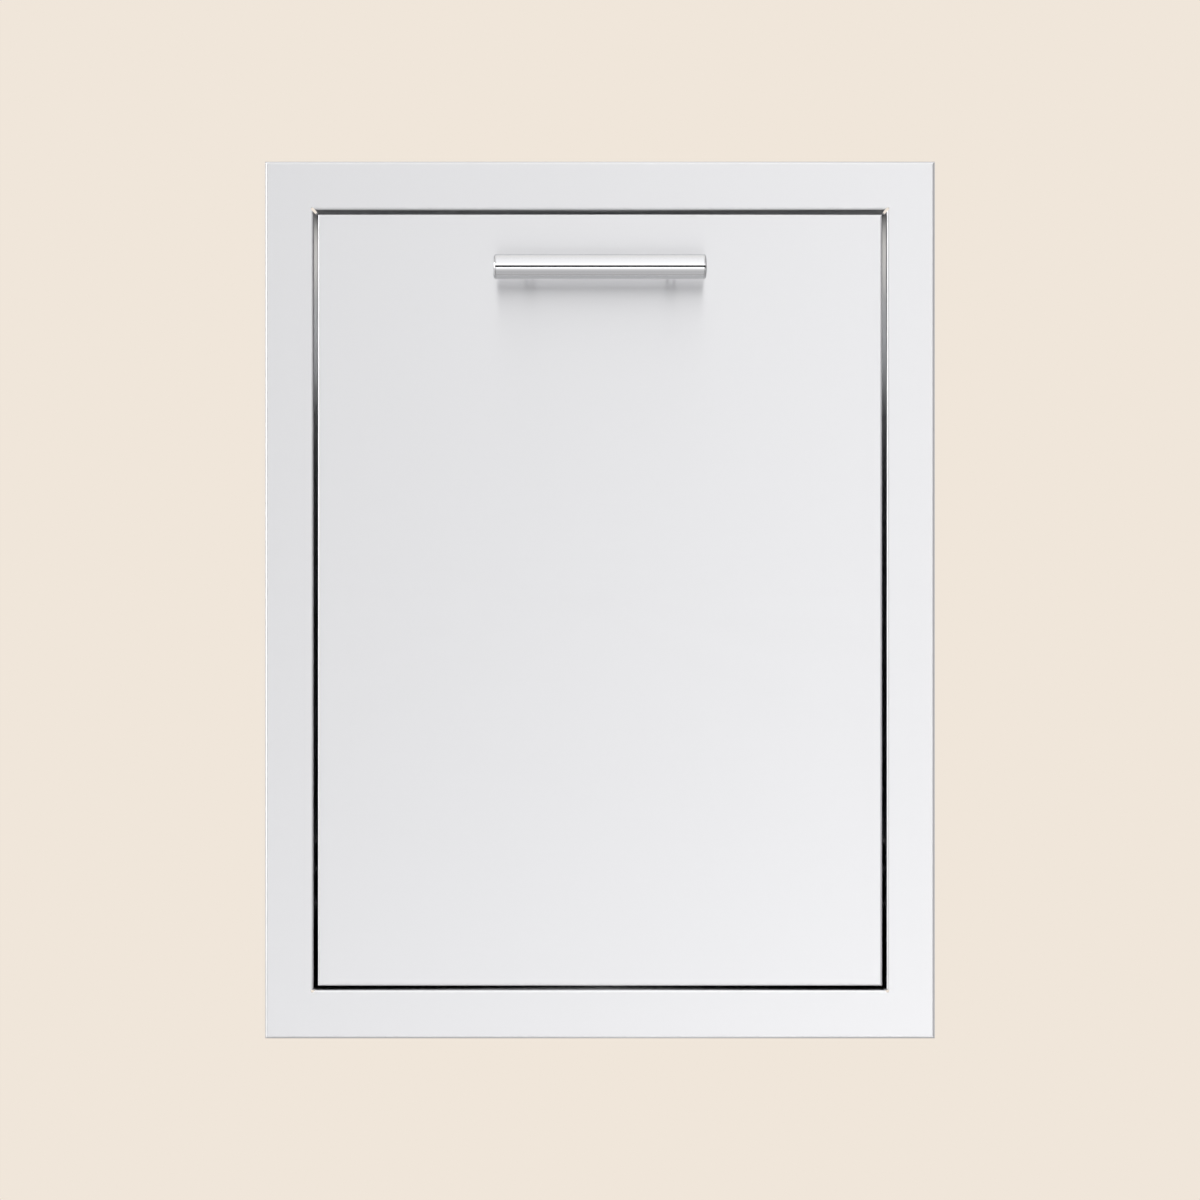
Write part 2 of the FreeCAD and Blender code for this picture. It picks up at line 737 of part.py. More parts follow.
def tray_pan():
    """Floor and side walls folded from one sheet, with hems turned in along the top."""
    wall = tray_half - TRAY_SHEET / 2
    floor = tray_bottom + TRAY_SHEET / 2
    top = tray_top - TRAY_SHEET / 2
    hem = tray_half - TRAY_HEM
    sheet = bent_sheet(
        [(-hem, top), (-wall, top), (-wall, floor), (wall, floor), (wall, top), (hem, top)],
        TRAY_SHEET,
        TRAY_BEND,
        lambda x, z: Vec(x, liner_rear, z),
        Vec(0, tray_end - liner_rear, 0),
    )
    holes = tray_screw_holes(SLIDE_W, SLIDE_W + TRAY_SHEET)
    return sheet.cut(holes + [mirrored(hole) for hole in holes])


def tray_end_wall():
    """A wall between the tray's sides, with flanges turned in at its top and bottom, standing on y = 0."""
    half = tray_inner - TRAY_BEND
    wall = TRAY_SHEET / 2
    low = tray_floor + TRAY_SHEET / 2
    high = tray_top - 3 * TRAY_SHEET / 2
    return bent_sheet(
        [(TRAY_END_FLANGE, low), (wall, low), (wall, high), (TRAY_END_FLANGE, high)],
        TRAY_SHEET,
        TRAY_BEND,
        lambda y, z: Vec(-half, y, z),
        Vec(2 * half, 0, 0),
    )


def tray_front_wall():
    return tray_end_wall().translated(Vec(0, liner_rear, 0)).cut(front_screw_holes())


def tray_rear_wall():
    return tray_end_wall().mirror(ORIGIN, Y_AXIS).translated(Vec(0, tray_end, 0))


def bin_divider():
    """A channel across the tray floor that keeps the bins' feet apart."""
    half = tray_inner - TRAY_BEND
    wall = divider_w / 2 - TRAY_SHEET / 2
    lip = divider_w / 2 - DIVIDER_LIP
    floor = tray_floor + TRAY_SHEET / 2
    top = tray_floor + DIVIDER_H - TRAY_SHEET / 2
    return bent_sheet(
        [(-lip, floor), (-wall, floor), (-wall, top), (wall, top), (wall, floor), (lip, floor)],
        TRAY_SHEET,
        TRAY_BEND,
        lambda y, z: Vec(-half, divider_y + y, z),
        Vec(2 * half, 0, 0),
    )


def front_brace():
    """A tapered gusset from the tray wall up the liner, flanged along its front edge."""
    low = slide_z + outer_flange_v + BRACE_GAP
    plate = tray_half + TRAY_SHEET / 2
    front = liner_rear + TRAY_SHEET / 2
    angle = bent_sheet(
        [(tray_half + BRACE_FLANGE, front), (plate, front), (plate, liner_rear + BRACE_BASE_L)],
        TRAY_SHEET,
        TRAY_BEND,
        lambda x, y: Vec(x, y, low),
        Vec(0, 0, brace_top - low),
    )
    outline = [
        Vec(tray_half, liner_rear, low),
        Vec(tray_half, liner_rear + BRACE_BASE_L, low),
        Vec(tray_half, liner_rear + BRACE_BASE_L, tray_top),
        Vec(tray_half, liner_rear + BRACE_TOP_L, brace_top),
        Vec(tray_half, liner_rear, brace_top),
    ]
    return angle.common(prism(outline, Vec(BRACE_FLANGE, 0, 0))).cut(front_screw_holes())


# Bins

def tapered_block(low, high, radius):
    """A block that widens from its low section to its high one, with its upright corners rounded."""
    low_w, low_l, low_z = low
    high_w, high_l, high_z = high

    def wedge(low_half, high_half, place, sweep):
        outline = [(-low_half, low_z), (low_half, low_z), (high_half, high_z), (-high_half, high_z)]
        return prism([place(across, z) for across, z in outline], sweep)

    across = wedge(low_w, high_w, lambda x, z: Vec(x, -high_l, z), Vec(0, 2 * high_l, 0))
    along = wedge(low_l, high_l, lambda y, z: Vec(-high_w, y, z), Vec(2 * high_w, 0, 0))
    waste = []
    for side in (-1, 1):
        for end in (-1, 1):
            corner = Vec(side * low_w, end * low_l, low_z)
            in_x = Vec(-side * radius, 0, 0)
            in_y = Vec(0, -end * radius, 0)
            arc_middle = corner + (in_x + in_y) * (1 - math.sqrt(0.5))
            arc = Part.Arc(corner + in_x, arc_middle, corner + in_y).toShape()
            outside = [
                corner + in_y,
                corner + in_y - in_x,
                corner - in_x - in_y,
                corner + in_x - in_y,
                corner + in_x,
            ]
            edges = [arc] + Part.makePolygon(outside).Edges
            lean = Vec(side * (high_w - low_w), end * (high_l - low_l), high_z - low_z)
            waste.append(Part.Face(Part.Wire(Part.__sortEdges__(edges))).extrude(lean))
    return across.common(along).cut(waste)


def bin_block(inset):
    """The bin's tapered body on a bevelled foot, or its inside when inset by the wall."""
    slope = inset * (math.sqrt(2) - 1)
    foot_w = bin_foot_w / 2
    foot_l = bin_foot_l / 2
    sections = [
        (foot_w - BIN_FOOT_BEVEL - slope, foot_l - BIN_FOOT_BEVEL - slope, inset),
        (foot_w - inset, foot_l - inset, BIN_FOOT_BEVEL + slope),
        (foot_w + BIN_TAPER - inset, foot_l + BIN_TAPER - inset, BIN_H),
    ]
    radius = BIN_CORNER_R - inset
    stages = [tapered_block(low, high, radius) for low, high in zip(sections, sections[1:])]
    return stages[0].fuse(stages[1:])


def rim_block(inset, low, high):
    """A level slab inside the rim's outline."""
    corner = BIN_CORNER_R + BIN_LIP - inset
    outline = rounded_outline(BIN_RIM_W - 2 * inset, bin_rim_l - 2 * inset, corner, Vec(0, 0, low))
    return Part.Face(outline).extrude(Vec(0, 0, high - low))


def moulded_bin(y):
    """A tapered bin with rounded corners and a turned-down rim, standing on the tray floor."""
    skirt_end = BIN_H - BIN_SKIRT
    rim = rim_block(0, skirt_end, BIN_H).cut(rim_block(BIN_WALL, skirt_end, BIN_H - BIN_WALL))
    shell = bin_block(0).fuse(rim).cut(bin_block(BIN_WALL))
    return shell.translated(Vec(0, y, tray_floor))


# One file for each named piece or group of like pieces

def export(name, *shapes):
    """Write the solids of one named piece, or of one group of like pieces."""
    solids = [solid for shape in shapes for solid in shape.Solids]
    piece = solids[0] if len(solids) == 1 else Part.makeCompound(solids)
    piece.exportStep("parts/" + name + ".step")


def export_pair(name, shape):
    """Write a right-hand piece and its mirror image."""
    export(name + "_right", shape)
    export(name + "_left", mirrored(shape))


def export_both(name, shapes):
    """Write like pieces of both sides as one group."""
    export(name, *shapes, *[mirrored(shape) for shape in shapes])


os.makedirs("parts", exist_ok=True)
export("face_frame", face_frame())
export("cabinet_base", cabinet_base())
export("cabinet_right_side", cabinet_right_side())
export("cabinet_left_side", mirrored(cabinet_right_side()))
export("cabinet_back", cabinet_back())
export_pair("runner_bracket", runner_bracket())
export_pair("slide_outer", slide_outer())
export_pair("slide_middle", slide_middle())
export_pair("slide_inner", slide_inner())
export_pair("slide_stop", slide_stop())
export_pair("outer_ball_cage", ball_cage(outer_cage_u, OUTER_BALL_U, outer_ball_v))
export_pair("inner_ball_cage", ball_cage(inner_cage_u, INNER_BALL_U, inner_ball_v))
export_pair("outer_balls", balls(OUTER_BALL_U, outer_ball_v))
export_pair("inner_balls", balls(INNER_BALL_U, inner_ball_v))
export_pair("release_lever", release_lever())
export_both("release_lever_pivots", [lever_pivot()])
export_both("runner_screws", runner_screws())
export_both("tray_screws", tray_screws())
export("drawer_front", drawer_front())
export("drawer_front_liner", drawer_front_liner())
export("front_screws", *front_screws())
export("handle_bar", handle_bar())
export_pair("handle_cap", handle_cap())
export_pair("handle_post", handle_post())
export("handle_screws", *handle_screws())
export("tray_pan", tray_pan())
export("tray_front_wall", tray_front_wall())
export("tray_rear_wall", tray_rear_wall())
export("bin_divider", bin_divider())
export_pair("front_brace", front_brace())
export("front_bin", moulded_bin(front_bin_y))
export("rear_bin", moulded_bin(rear_bin_y))
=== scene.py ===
import json
import math

import bmesh
import bpy
from bpy.props import FloatProperty, FloatVectorProperty, PointerProperty
from mathutils import Matrix, Vector

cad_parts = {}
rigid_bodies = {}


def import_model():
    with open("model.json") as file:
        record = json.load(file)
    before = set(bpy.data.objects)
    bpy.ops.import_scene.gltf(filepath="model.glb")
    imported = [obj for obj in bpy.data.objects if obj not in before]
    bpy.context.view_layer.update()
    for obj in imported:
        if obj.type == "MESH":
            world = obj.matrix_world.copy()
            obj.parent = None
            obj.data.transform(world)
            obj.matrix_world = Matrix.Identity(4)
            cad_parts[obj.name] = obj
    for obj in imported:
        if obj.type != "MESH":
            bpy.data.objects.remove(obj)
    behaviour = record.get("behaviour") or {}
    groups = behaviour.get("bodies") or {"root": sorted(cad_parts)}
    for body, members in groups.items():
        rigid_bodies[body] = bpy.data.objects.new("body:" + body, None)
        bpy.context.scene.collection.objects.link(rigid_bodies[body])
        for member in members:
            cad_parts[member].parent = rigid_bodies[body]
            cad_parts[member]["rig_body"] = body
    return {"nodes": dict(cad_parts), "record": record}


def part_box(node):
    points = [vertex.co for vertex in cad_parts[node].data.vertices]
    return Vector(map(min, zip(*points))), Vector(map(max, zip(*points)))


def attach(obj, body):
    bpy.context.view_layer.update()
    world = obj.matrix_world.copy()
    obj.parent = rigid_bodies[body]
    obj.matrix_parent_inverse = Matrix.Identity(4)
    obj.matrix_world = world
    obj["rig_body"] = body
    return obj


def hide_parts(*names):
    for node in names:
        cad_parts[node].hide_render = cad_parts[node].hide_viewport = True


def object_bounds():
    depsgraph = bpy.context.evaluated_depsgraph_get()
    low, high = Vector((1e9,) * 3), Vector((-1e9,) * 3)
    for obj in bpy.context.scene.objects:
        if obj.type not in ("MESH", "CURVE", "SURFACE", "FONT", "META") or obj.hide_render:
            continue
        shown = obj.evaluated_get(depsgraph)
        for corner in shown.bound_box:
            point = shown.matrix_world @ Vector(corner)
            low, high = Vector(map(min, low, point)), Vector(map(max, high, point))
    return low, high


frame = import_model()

bl_info = {
    "name": "Double Trash Drawer",
    "version": (1, 0, 0),
    "blender": (4, 5, 0),
    "location": "View3D > Sidebar > Trash Drawer",
    "description": "Dresses the packed drawer in its finishes and adds its turned and moulded detail",
    "category": "Object",
}

CAD_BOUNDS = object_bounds()
MM = 0.001
SIDES = ("left", "right")
SIGNS = (-1, 1)  # where each side lies along X
FULL_TURN = 2 * math.pi
QUARTER_TURN = math.pi / 2
SMOOTH_ANGLE = math.radians(32)  # faces that meet at less than this are shaded as one
SAME_POINT = 1e-6  # points nearer to each other than this are one


def linear(hex_colour):
    """An sRGB hex colour as linear RGBA."""
    channels = [int(hex_colour[i:i + 2], 16) / 255 for i in (1, 3, 5)]
    return [c / 12.92 if c <= 0.04045 else ((c + 0.055) / 1.055) ** 2.4 for c in channels] + [1.0]


def colour(name, description, hex_colour):
    """A colour that a user may change."""
    return FloatVectorProperty(
        name=name,
        description=description,
        subtype="COLOR",
        size=4,
        min=0,
        max=1,
        default=linear(hex_colour),
    )


def length(name, description, millimetres):
    """A size that a user may change."""
    return FloatProperty(
        name=name, description=description, unit="LENGTH", min=0, precision=5, default=millimetres * MM
    )


def level(name, description, value):
    """A plain number that a user may change."""
    return FloatProperty(name=name, description=description, min=0, default=value)


# Settings

class DrawerColours(bpy.types.PropertyGroup):
    """Colours of the drawer's finishes."""

    face: colour("Face sheet", "Brushed stainless of the frame and the front", "#F4F4F6")
    handle: colour("Handle", "Satin-polished stainless of the bar", "#DADADC")
    post: colour("Handle post", "Polished stainless of the handle's posts", "#F0F0F2")
    cabinet: colour("Cabinet sheet", "Mill-finish stainless of the cabinet and tray", "#D4D5D7")
    zinc: colour("Slide", "Bright zinc plate of the slides", "#C9CED3")
    bearing: colour("Ball", "Chrome steel of the balls", "#DADADC")
    weld: colour("Weld", "Heat-tinted print of a spot weld", "#A8A29A")
    screw: colour("Screw", "Stainless of the screws and studs", "#CFD0D2")
    bin: colour("Bin", "Moulded polyethylene of the bins", "#3E4043")
    lever: colour("Lever", "Moulded nylon of the release levers", "#1E1F21")
    buffer: colour("Buffer", "Moulded rubber of the slide buffers", "#191919")
    backdrop: colour("Backdrop", "Pale paper behind and under the drawer", "#F0E6DA")
    room: colour("Room", "What metal mirrors of the room behind the drawer", "#EAE7E3")
    lamp: colour("Lamp", "Neutral white of the soft lamps", "#FFFFFF")


class DrawerSizes(bpy.types.PropertyGroup):
    """Sizes of the detail on the drawer."""

    grain: length("Brush line", "Width of a brush line, drawn coarser than real so that it shows", 0.5)
    grain_run: length("Brush run", "Length of a brush line", 90.0)
    # Painted shade: darkens the face sheet's colour towards its top, as a share of its colour at the foot
    face_painted_top_shade: level("Painted top shade", "Brightness of the face sheet's top, as a share of its foot", 0.8)
    mill_cloud: length("Mill cloud", "Size of the soft clouds in mill-finish sheet", 45.0)
    plate_spangle: length("Plating spangle", "Size of the faint crystals in zinc plate", 2.5)
    spark_grain: length("Spark grain", "Grain that the mould's eroded wall leaves on plastic", 0.9)
    cap_edge: length("Cap edge", "How far the dome of an end cap stands out of the bar", 2.2)
    rim_round: length("Rim round", "Rounding of the bins' rim", 1.8)
    bin_ledge: length("Bin ledge", "Depth of the step moulded round a bin below its rim", 1.2)
    weld_mark: length("Weld mark", "Radius of a spot weld's print", 2.8)
    weld_rim: length("Weld rim", "How far a spot weld's print stands out of the sheet", 0.12)
    weld_pitch: length("Weld pitch", "Distance between spot welds", 62.0)
    weld_edge: length("Weld edge", "Distance of a line of spot welds from a sheet's edge", 5.5)
    screw_round: length("Screw round", "Rounding of a screw head's edges", 0.4)


class DrawerStage(bpy.types.PropertyGroup):
    """Camera, lamps and floor."""

    camera_distance: length("Camera distance", "Lens to the face of the drawer", 2060.0)
    view_width: length("View width", "What the square picture takes in across the face", 920.5)
    floor_drop: length("Floor drop", "Floor below the drawer, which hangs in its island", 420.0)
    floor_radius: length("Floor radius", "How far the floor reaches before it fades", 1050.0)
    top_light: level("Top light", "Radiance of the soft box above the camera", 0.35)
    left_light: level("Left light", "Radiance of the soft box in front on the left", 2.5)
    overhead_light: level("Overhead light", "Radiance of the soft box over the drawer", 0.5)
    fill_light: level("Fill light", "Radiance of the room for surfaces that are not metal", 0.9)
    room_low: level("Room below", "Radiance of the room in front of the drawer, just below the lens", 2.35)
    room_line: level("Room line", "Radiance of the room in front of the drawer, level with the lens", 0.0)
    room_high: level("Room above", "Radiance of the room in front of the drawer, just above the lens", 1.96)
    room_side: level("Room side", "Light of the room at its far right, as a share of that in front", 0.45)


# Shader nodes and finishes

NOISE_ROUGHNESS = 0.55  # strength of each finer layer of a noise
NOISE_MIDDLE = (0.3, 0.7)  # where most values of a noise lie
ACROSS_THE_LINES = 0.25  # which way a brushed sheet smears light, in whole turns from its tangent
PLASTIC_IOR = 1.5


def add_node(tree, kind, inputs=None, **settings):
    """One shader node with its settings, and its inputs set or linked."""
    node = tree.nodes.new(kind)
    for name, value in settings.items():
        setattr(node, name, value)
    for name, value in (inputs or {}).items():
        if isinstance(value, bpy.types.NodeSocket):
            tree.links.new(value, node.inputs[name])
        else:
            node.inputs[name].default_value = value
    return node


def new_material(name):
    """An empty material with its shader and its object coordinates."""
    material = bpy.data.materials.new(name)
    material.use_nodes = True
    tree = material.node_tree
    shader = tree.nodes["Principled BSDF"]
    coordinates = tree.nodes.new("ShaderNodeTexCoord").outputs["Object"]
    return material, tree, shader, coordinates


def between(tree, value, start, end, low=0.0, high=1.0, **settings):
    """A value mapped from one range to another and held at its ends."""
    limits = {"Value": value, "From Min": start, "From Max": end, "To Min": low, "To Max": high}
    return add_node(tree, "ShaderNodeMapRange", limits, **settings).outputs["Result"]


def scaled(tree, coordinates, sizes):
    """Coordinates that grow by one over the given size in metres along each axis."""
    mapping = {"Vector": coordinates, "Scale": [1 / size for size in sizes]}
    return add_node(tree, "ShaderNodeMapping", mapping).outputs["Vector"]


def pattern(tree, coordinates, sizes, detail=3.0):
    """Noise stretched so that one blotch has the given size in metres along each axis."""
    vector = scaled(tree, coordinates, sizes)
    noise = {"Vector": vector, "Scale": 1.0, "Detail": detail, "Roughness": NOISE_ROUGHNESS}
    return add_node(tree, "ShaderNodeTexNoise", noise).outputs["Fac"]


def spread(tree, value, low, high):
    """A pattern's middle range mapped to lie between two values."""
    return between(tree, value, *NOISE_MIDDLE, low, high)


def tint(tree, base, value, darkest):
    """The base colour, shaded down by a pattern to a share of itself."""
    dark = [channel * darkest for channel in base[:3]] + [1.0]
    return add_node(tree, "ShaderNodeMix", {0: value, 6: dark, 7: list(base)}, data_type="RGBA").outputs[2]


def relief(tree, shader, value, depth):
    """Raise the surface by a pattern."""
    bump = {"Height": value, "Distance": depth, "Strength": 1.0}
    tree.links.new(add_node(tree, "ShaderNodeBump", bump).outputs["Normal"], shader.inputs["Normal"])


def brushed_stainless(name, base, grain, run, roughness, reach, drift):
    """Stainless sheet brushed with an abrasive belt along level lines."""
    # Fine level scratches: a lamp or a handle smears up and down the sheet and stays sharp sideways.
    # Painted shade: the base colour darkens towards the sheet's top, to a share of its colour at the foot,
    # standing in for less light on the top.
    material, tree, shader, coordinates = new_material(name)
    lines = pattern(tree, coordinates, [run, grain, grain])
    height = add_node(tree, "ShaderNodeSeparateXYZ", {"Vector": coordinates}).outputs["Z"]
    # Painted shade: a factor that darkens the colour from the foot of the face up to its top
    painted_shade_factor = between(tree, height, -reach, reach, low=1.0, high=drift)
    shades = {0: 1.0, 6: tint(tree, base, lines, darkest=0.99), 7: painted_shade_factor}
    shades = add_node(tree, "ShaderNodeMix", shades, data_type="RGBA", blend_type="MULTIPLY").outputs[2]
    shader.inputs["Metallic"].default_value = 1.0
    shader.inputs["Anisotropic"].default_value = 1.0
    shader.inputs["Anisotropic Rotation"].default_value = ACROSS_THE_LINES
    tree.links.new(shades, shader.inputs["Base Color"])
    uneven = spread(tree, lines, low=roughness - 0.01, high=roughness + 0.01)
    tree.links.new(uneven, shader.inputs["Roughness"])
    tangent = add_node(tree, "ShaderNodeTangent", direction_type="RADIAL", axis="Z")
    tree.links.new(tangent.outputs["Tangent"], shader.inputs["Tangent"])
    relief(tree, shader, lines, depth=0.0006 * MM)
    return material


def satin_stainless(name, base, grain):
    """Stainless tube polished round its length to a satin sheen."""
    # Nearly a mirror, with faint rings round the bar that soften a reflection along its length.
    material, tree, shader, coordinates = new_material(name)
    rings = pattern(tree, coordinates, [grain, 100 * grain, 100 * grain])
    shader.inputs["Metallic"].default_value = 1.0
    tree.links.new(tint(tree, base, rings, darkest=0.96), shader.inputs["Base Color"])
    tree.links.new(spread(tree, rings, low=0.07, high=0.11), shader.inputs["Roughness"])
    relief(tree, shader, rings, depth=0.002 * MM)
    return material


def mill_stainless(name, base, cloud, grain):
    """Cold-rolled stainless sheet as it leaves the mill."""
    # Dull silver with soft clouds and faint rolling lines, blurring reflections evenly.
    material, tree, shader, coordinates = new_material(name)
    clouds = pattern(tree, coordinates, [cloud] * 3, detail=4.0)
    rolled = pattern(tree, coordinates, [grain, 80 * grain, grain])
    shader.inputs["Metallic"].default_value = 1.0
    tree.links.new(tint(tree, base, clouds, darkest=0.97), shader.inputs["Base Color"])
    tree.links.new(spread(tree, clouds, low=0.35, high=0.39), shader.inputs["Roughness"])
    relief(tree, shader, rolled, depth=0.006 * MM)
    return material


def zinc_plate(name, base, spangle):
    """Cold-rolled steel strip, zinc plated and passivated."""
    # Bright bluish silver with a faint crystal mottle.
    material, tree, shader, coordinates = new_material(name)
    cells = {"Vector": scaled(tree, coordinates, [spangle] * 3), "Scale": 1.0}
    crystals = add_node(tree, "ShaderNodeTexVoronoi", cells).outputs["Distance"]
    shader.inputs["Metallic"].default_value = 1.0
    tree.links.new(tint(tree, base, crystals, darkest=0.95), shader.inputs["Base Color"])
    tree.links.new(spread(tree, crystals, low=0.27, high=0.32), shader.inputs["Roughness"])
    relief(tree, shader, crystals, depth=0.0008 * MM)
    return material


def turned_steel(name, base, grain, roughness):
    """Steel turned or ground to a fine finish."""
    # Bright metal with fine tool lines that only show close by.
    material, tree, shader, coordinates = new_material(name)
    lines = pattern(tree, coordinates, [grain] * 3)
    shader.inputs["Metallic"].default_value = 1.0
    tree.links.new(tint(tree, base, lines, darkest=0.93), shader.inputs["Base Color"])
    uneven = spread(tree, lines, low=0.7 * roughness, high=1.3 * roughness)
    tree.links.new(uneven, shader.inputs["Roughness"])
    return material


def moulded_plastic(name, base, grain, roughness, depth):
    """Thermoplastic or rubber moulded against a spark-eroded steel wall."""
    # Even colour with a fine leathery grain that breaks up highlights, and slightly chalky flow marks.
    material, tree, shader, coordinates = new_material(name)
    flow = pattern(tree, coordinates, [60 * grain] * 3)
    grains = pattern(tree, coordinates, [grain] * 3, detail=2.0)
    shader.inputs["IOR"].default_value = PLASTIC_IOR
    tree.links.new(tint(tree, base, flow, darkest=0.85), shader.inputs["Base Color"])
    uneven = spread(tree, flow, low=roughness - 0.05, high=roughness + 0.05)
    tree.links.new(uneven, shader.inputs["Roughness"])
    relief(tree, shader, grains, depth)
    return material


def finish(name):
    """The named finish, made the first time that it is asked for."""
    if name in bpy.data.materials:
        return bpy.data.materials[name]
    colours = bpy.context.scene.drawer_colours
    sizes = bpy.context.scene.drawer_sizes
    grain = {"grain": sizes.grain}
    moulded = {"grain": sizes.spark_grain}
    # The face's finish carries painted shade that darkens it towards the top
    brushed = {"run": sizes.grain_run, "reach": CAD_BOUNDS[1].z, "drift": sizes.face_painted_top_shade}
    finishes = {
        "brushed_stainless_face": (brushed_stainless, colours.face, grain | brushed | {"roughness": 0.29}),
        "satin_stainless_handle": (satin_stainless, colours.handle, grain),
        "satin_stainless_post": (satin_stainless, colours.post, grain),
        "mill_stainless_sheet": (mill_stainless, colours.cabinet, grain | {"cloud": sizes.mill_cloud}),
        "spot_weld_print": (turned_steel, colours.weld, grain | {"roughness": 0.4}),
        "zinc_plated_strip": (zinc_plate, colours.zinc, {"spangle": sizes.plate_spangle}),
        "chrome_steel_ball": (turned_steel, colours.bearing, grain | {"roughness": 0.08}),
        "turned_stainless_screw": (turned_steel, colours.screw, grain | {"roughness": 0.28}),
        "moulded_polyethylene_bin": (
            moulded_plastic, colours.bin, moulded | {"roughness": 0.5, "depth": 0.05 * MM}
        ),
        "moulded_nylon_lever": (
            moulded_plastic, colours.lever, moulded | {"roughness": 0.42, "depth": 0.02 * MM}
        ),
        "moulded_rubber_buffer": (
            moulded_plastic, colours.buffer, moulded | {"roughness": 0.75, "depth": 0.03 * MM}
        ),
    }
    maker, base, settings = finishes[name]
    return maker(name, base, **settings)


def dress(finish_name, *nodes):
    """Give CAD nodes a finish."""
    for node in nodes:
        materials = frame["nodes"][node].data.materials
        materials.clear()
        materials.append(finish(finish_name))


# Making pieces

def both(*names):
    """The left-hand and right-hand names of paired pieces."""
    return [f"{name}_{side}" for name in names for side in SIDES]


def body_of(node):
    """The body that a CAD node rides on."""
    return frame["nodes"][node]["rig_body"]


def slot_of(node):
    """The record's material slot of a CAD node."""
    return next(part["material_slot"] for part in frame["record"]["subparts"] if part["node"] == node)


def solids_of(node):
    """The lowest and highest corner of each solid in a CAD node, in a fixed order."""
    bm = bmesh.new()
    bm.from_mesh(frame["nodes"][node].data)
    bmesh.ops.remove_doubles(bm, verts=bm.verts, dist=SAME_POINT)
    left = set(bm.verts)
    boxes = []
    while left:
        reached = [left.pop()]
        for vert in reached:
            near = {edge.other_vert(vert) for edge in vert.link_edges} & left
            left -= near
            reached.extend(near)
        corners = [[pick(v.co[i] for v in reached) for i in range(3)] for pick in (min, max)]
        boxes.append((Vector(corners[0]), Vector(corners[1])))
    bm.free()
    return sorted(boxes, key=lambda box: tuple(box[0]))


def finish_piece(bm, name, finish_name, node, slot=None):
    """Turn a bmesh into a closed piece that rides with a CAD node.

    The piece stands for the node, or adds to it where a slot is given.
    """
    bmesh.ops.remove_doubles(bm, verts=bm.verts, dist=SAME_POINT)
    bmesh.ops.holes_fill(bm, edges=[edge for edge in bm.edges if edge.is_boundary], sides=0)
    bmesh.ops.recalc_face_normals(bm, faces=bm.faces)
    for face in bm.faces:
        face.smooth = True
    for edge in bm.edges:
        edge.smooth = len(edge.link_faces) == 2 and edge.calc_face_angle(0) < SMOOTH_ANGLE
    mesh = bpy.data.meshes.new(name)
    bm.to_mesh(mesh)
    bm.free()
    mesh.materials.append(finish(finish_name))
    piece = bpy.data.objects.new(name, mesh)
    bpy.context.scene.collection.objects.link(piece)
    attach(piece, body_of(node))
    slot or slot_of(node)
    if slot is None:
        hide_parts(node)


def frame_to(origin, axis):
    """The matrix that stands local Z along an axis at a point."""
    return Matrix.Translation(origin) @ Vector(axis).to_track_quat("Z", "Y").to_matrix().to_4x4()


def turned(profile, steps):
    """A bmesh made by spinning radius and height pairs round Z."""
    bm = bmesh.new()
    verts = [bm.verts.new((radius, 0, height)) for radius, height in profile]
    edges = [bm.edges.new(pair) for pair in zip(verts, verts[1:])]
    bmesh.ops.spin(
        bm, geom=verts + edges, cent=(0, 0, 0), axis=(0, 0, 1), angle=FULL_TURN, steps=steps, use_merge=True
    )
    bmesh.ops.remove_doubles(bm, verts=bm.verts, dist=SAME_POINT)
    bmesh.ops.recalc_face_normals(bm, faces=bm.faces)
    return bm


def copies(part, places):
    """A bmesh with one copy of a part at each place."""
    mesh = bpy.data.meshes.new("part")
    part.to_mesh(mesh)
    part.free()
    bm = bmesh.new()
    for place in places:
        first = len(bm.verts)
        bm.from_mesh(mesh)
        bm.verts.ensure_lookup_table()
        bmesh.ops.transform(bm, matrix=place, verts=bm.verts[first:])
    bpy.data.meshes.remove(mesh)
    return bm


def hex_socket(bm, flats):
    """Press the round recess of a turned head, as wide as its flats, into a hexagon."""
    corner = FULL_TURN / 6
    for vert in bm.verts:
        if abs(vert.co.xy.length - flats / 2) < SAME_POINT:
            turn = math.atan2(vert.co.y, vert.co.x) % corner - corner / 2
            scale = 1 / math.cos(turn)
            bmesh.ops.scale(bm, vec=(scale, scale, 1), verts=[vert])


def quarter(radius, steps, start_inward):
    """Steps of a quarter round, as pairs of move inward and move along."""
    moves = []
    for i in range(steps):
        here, there = (QUARTER_TURN * k / steps for k in (i, i + 1))
        across = radius * (math.cos(here) - math.cos(there))
        along = radius * (math.sin(there) - math.sin(here))
        moves.append((along, across) if start_inward else (across, along))
    return moves


def rounded_sheet(bm, half_w, half_l, radius, centre, segments):
    """A level rectangle with round corners, as one face."""
    matrix = Matrix.Translation(centre) @ Matrix.Diagonal((half_w, half_l, 1, 1))
    made = bmesh.ops.create_grid(bm, x_segments=1, y_segments=1, size=1, matrix=matrix)
    rounded = bmesh.ops.bevel(
        bm,
        geom=made["verts"],
        offset=radius,
        offset_type="OFFSET",
        affect="VERTICES",
        segments=segments,
        profile=0.5,
        material=-1,
        clamp_overlap=False,
    )
    return max((face for vert in rounded["verts"] for face in vert.link_faces), key=lambda f: len(f.verts))


def step_in(bm, face, inward, rise):
    """Carry a level face inward and up, leaving a band of wall behind it."""
    if inward > 0:
        bmesh.ops.inset_region(
            bm, faces=[face], thickness=inward, depth=0, use_boundary=True, use_even_offset=True
        )
    else:
        face = bmesh.ops.extrude_discrete_faces(bm, faces=[face])["faces"][0]
    bmesh.ops.translate(bm, vec=(0, 0, rise), verts=face.verts)
    return face


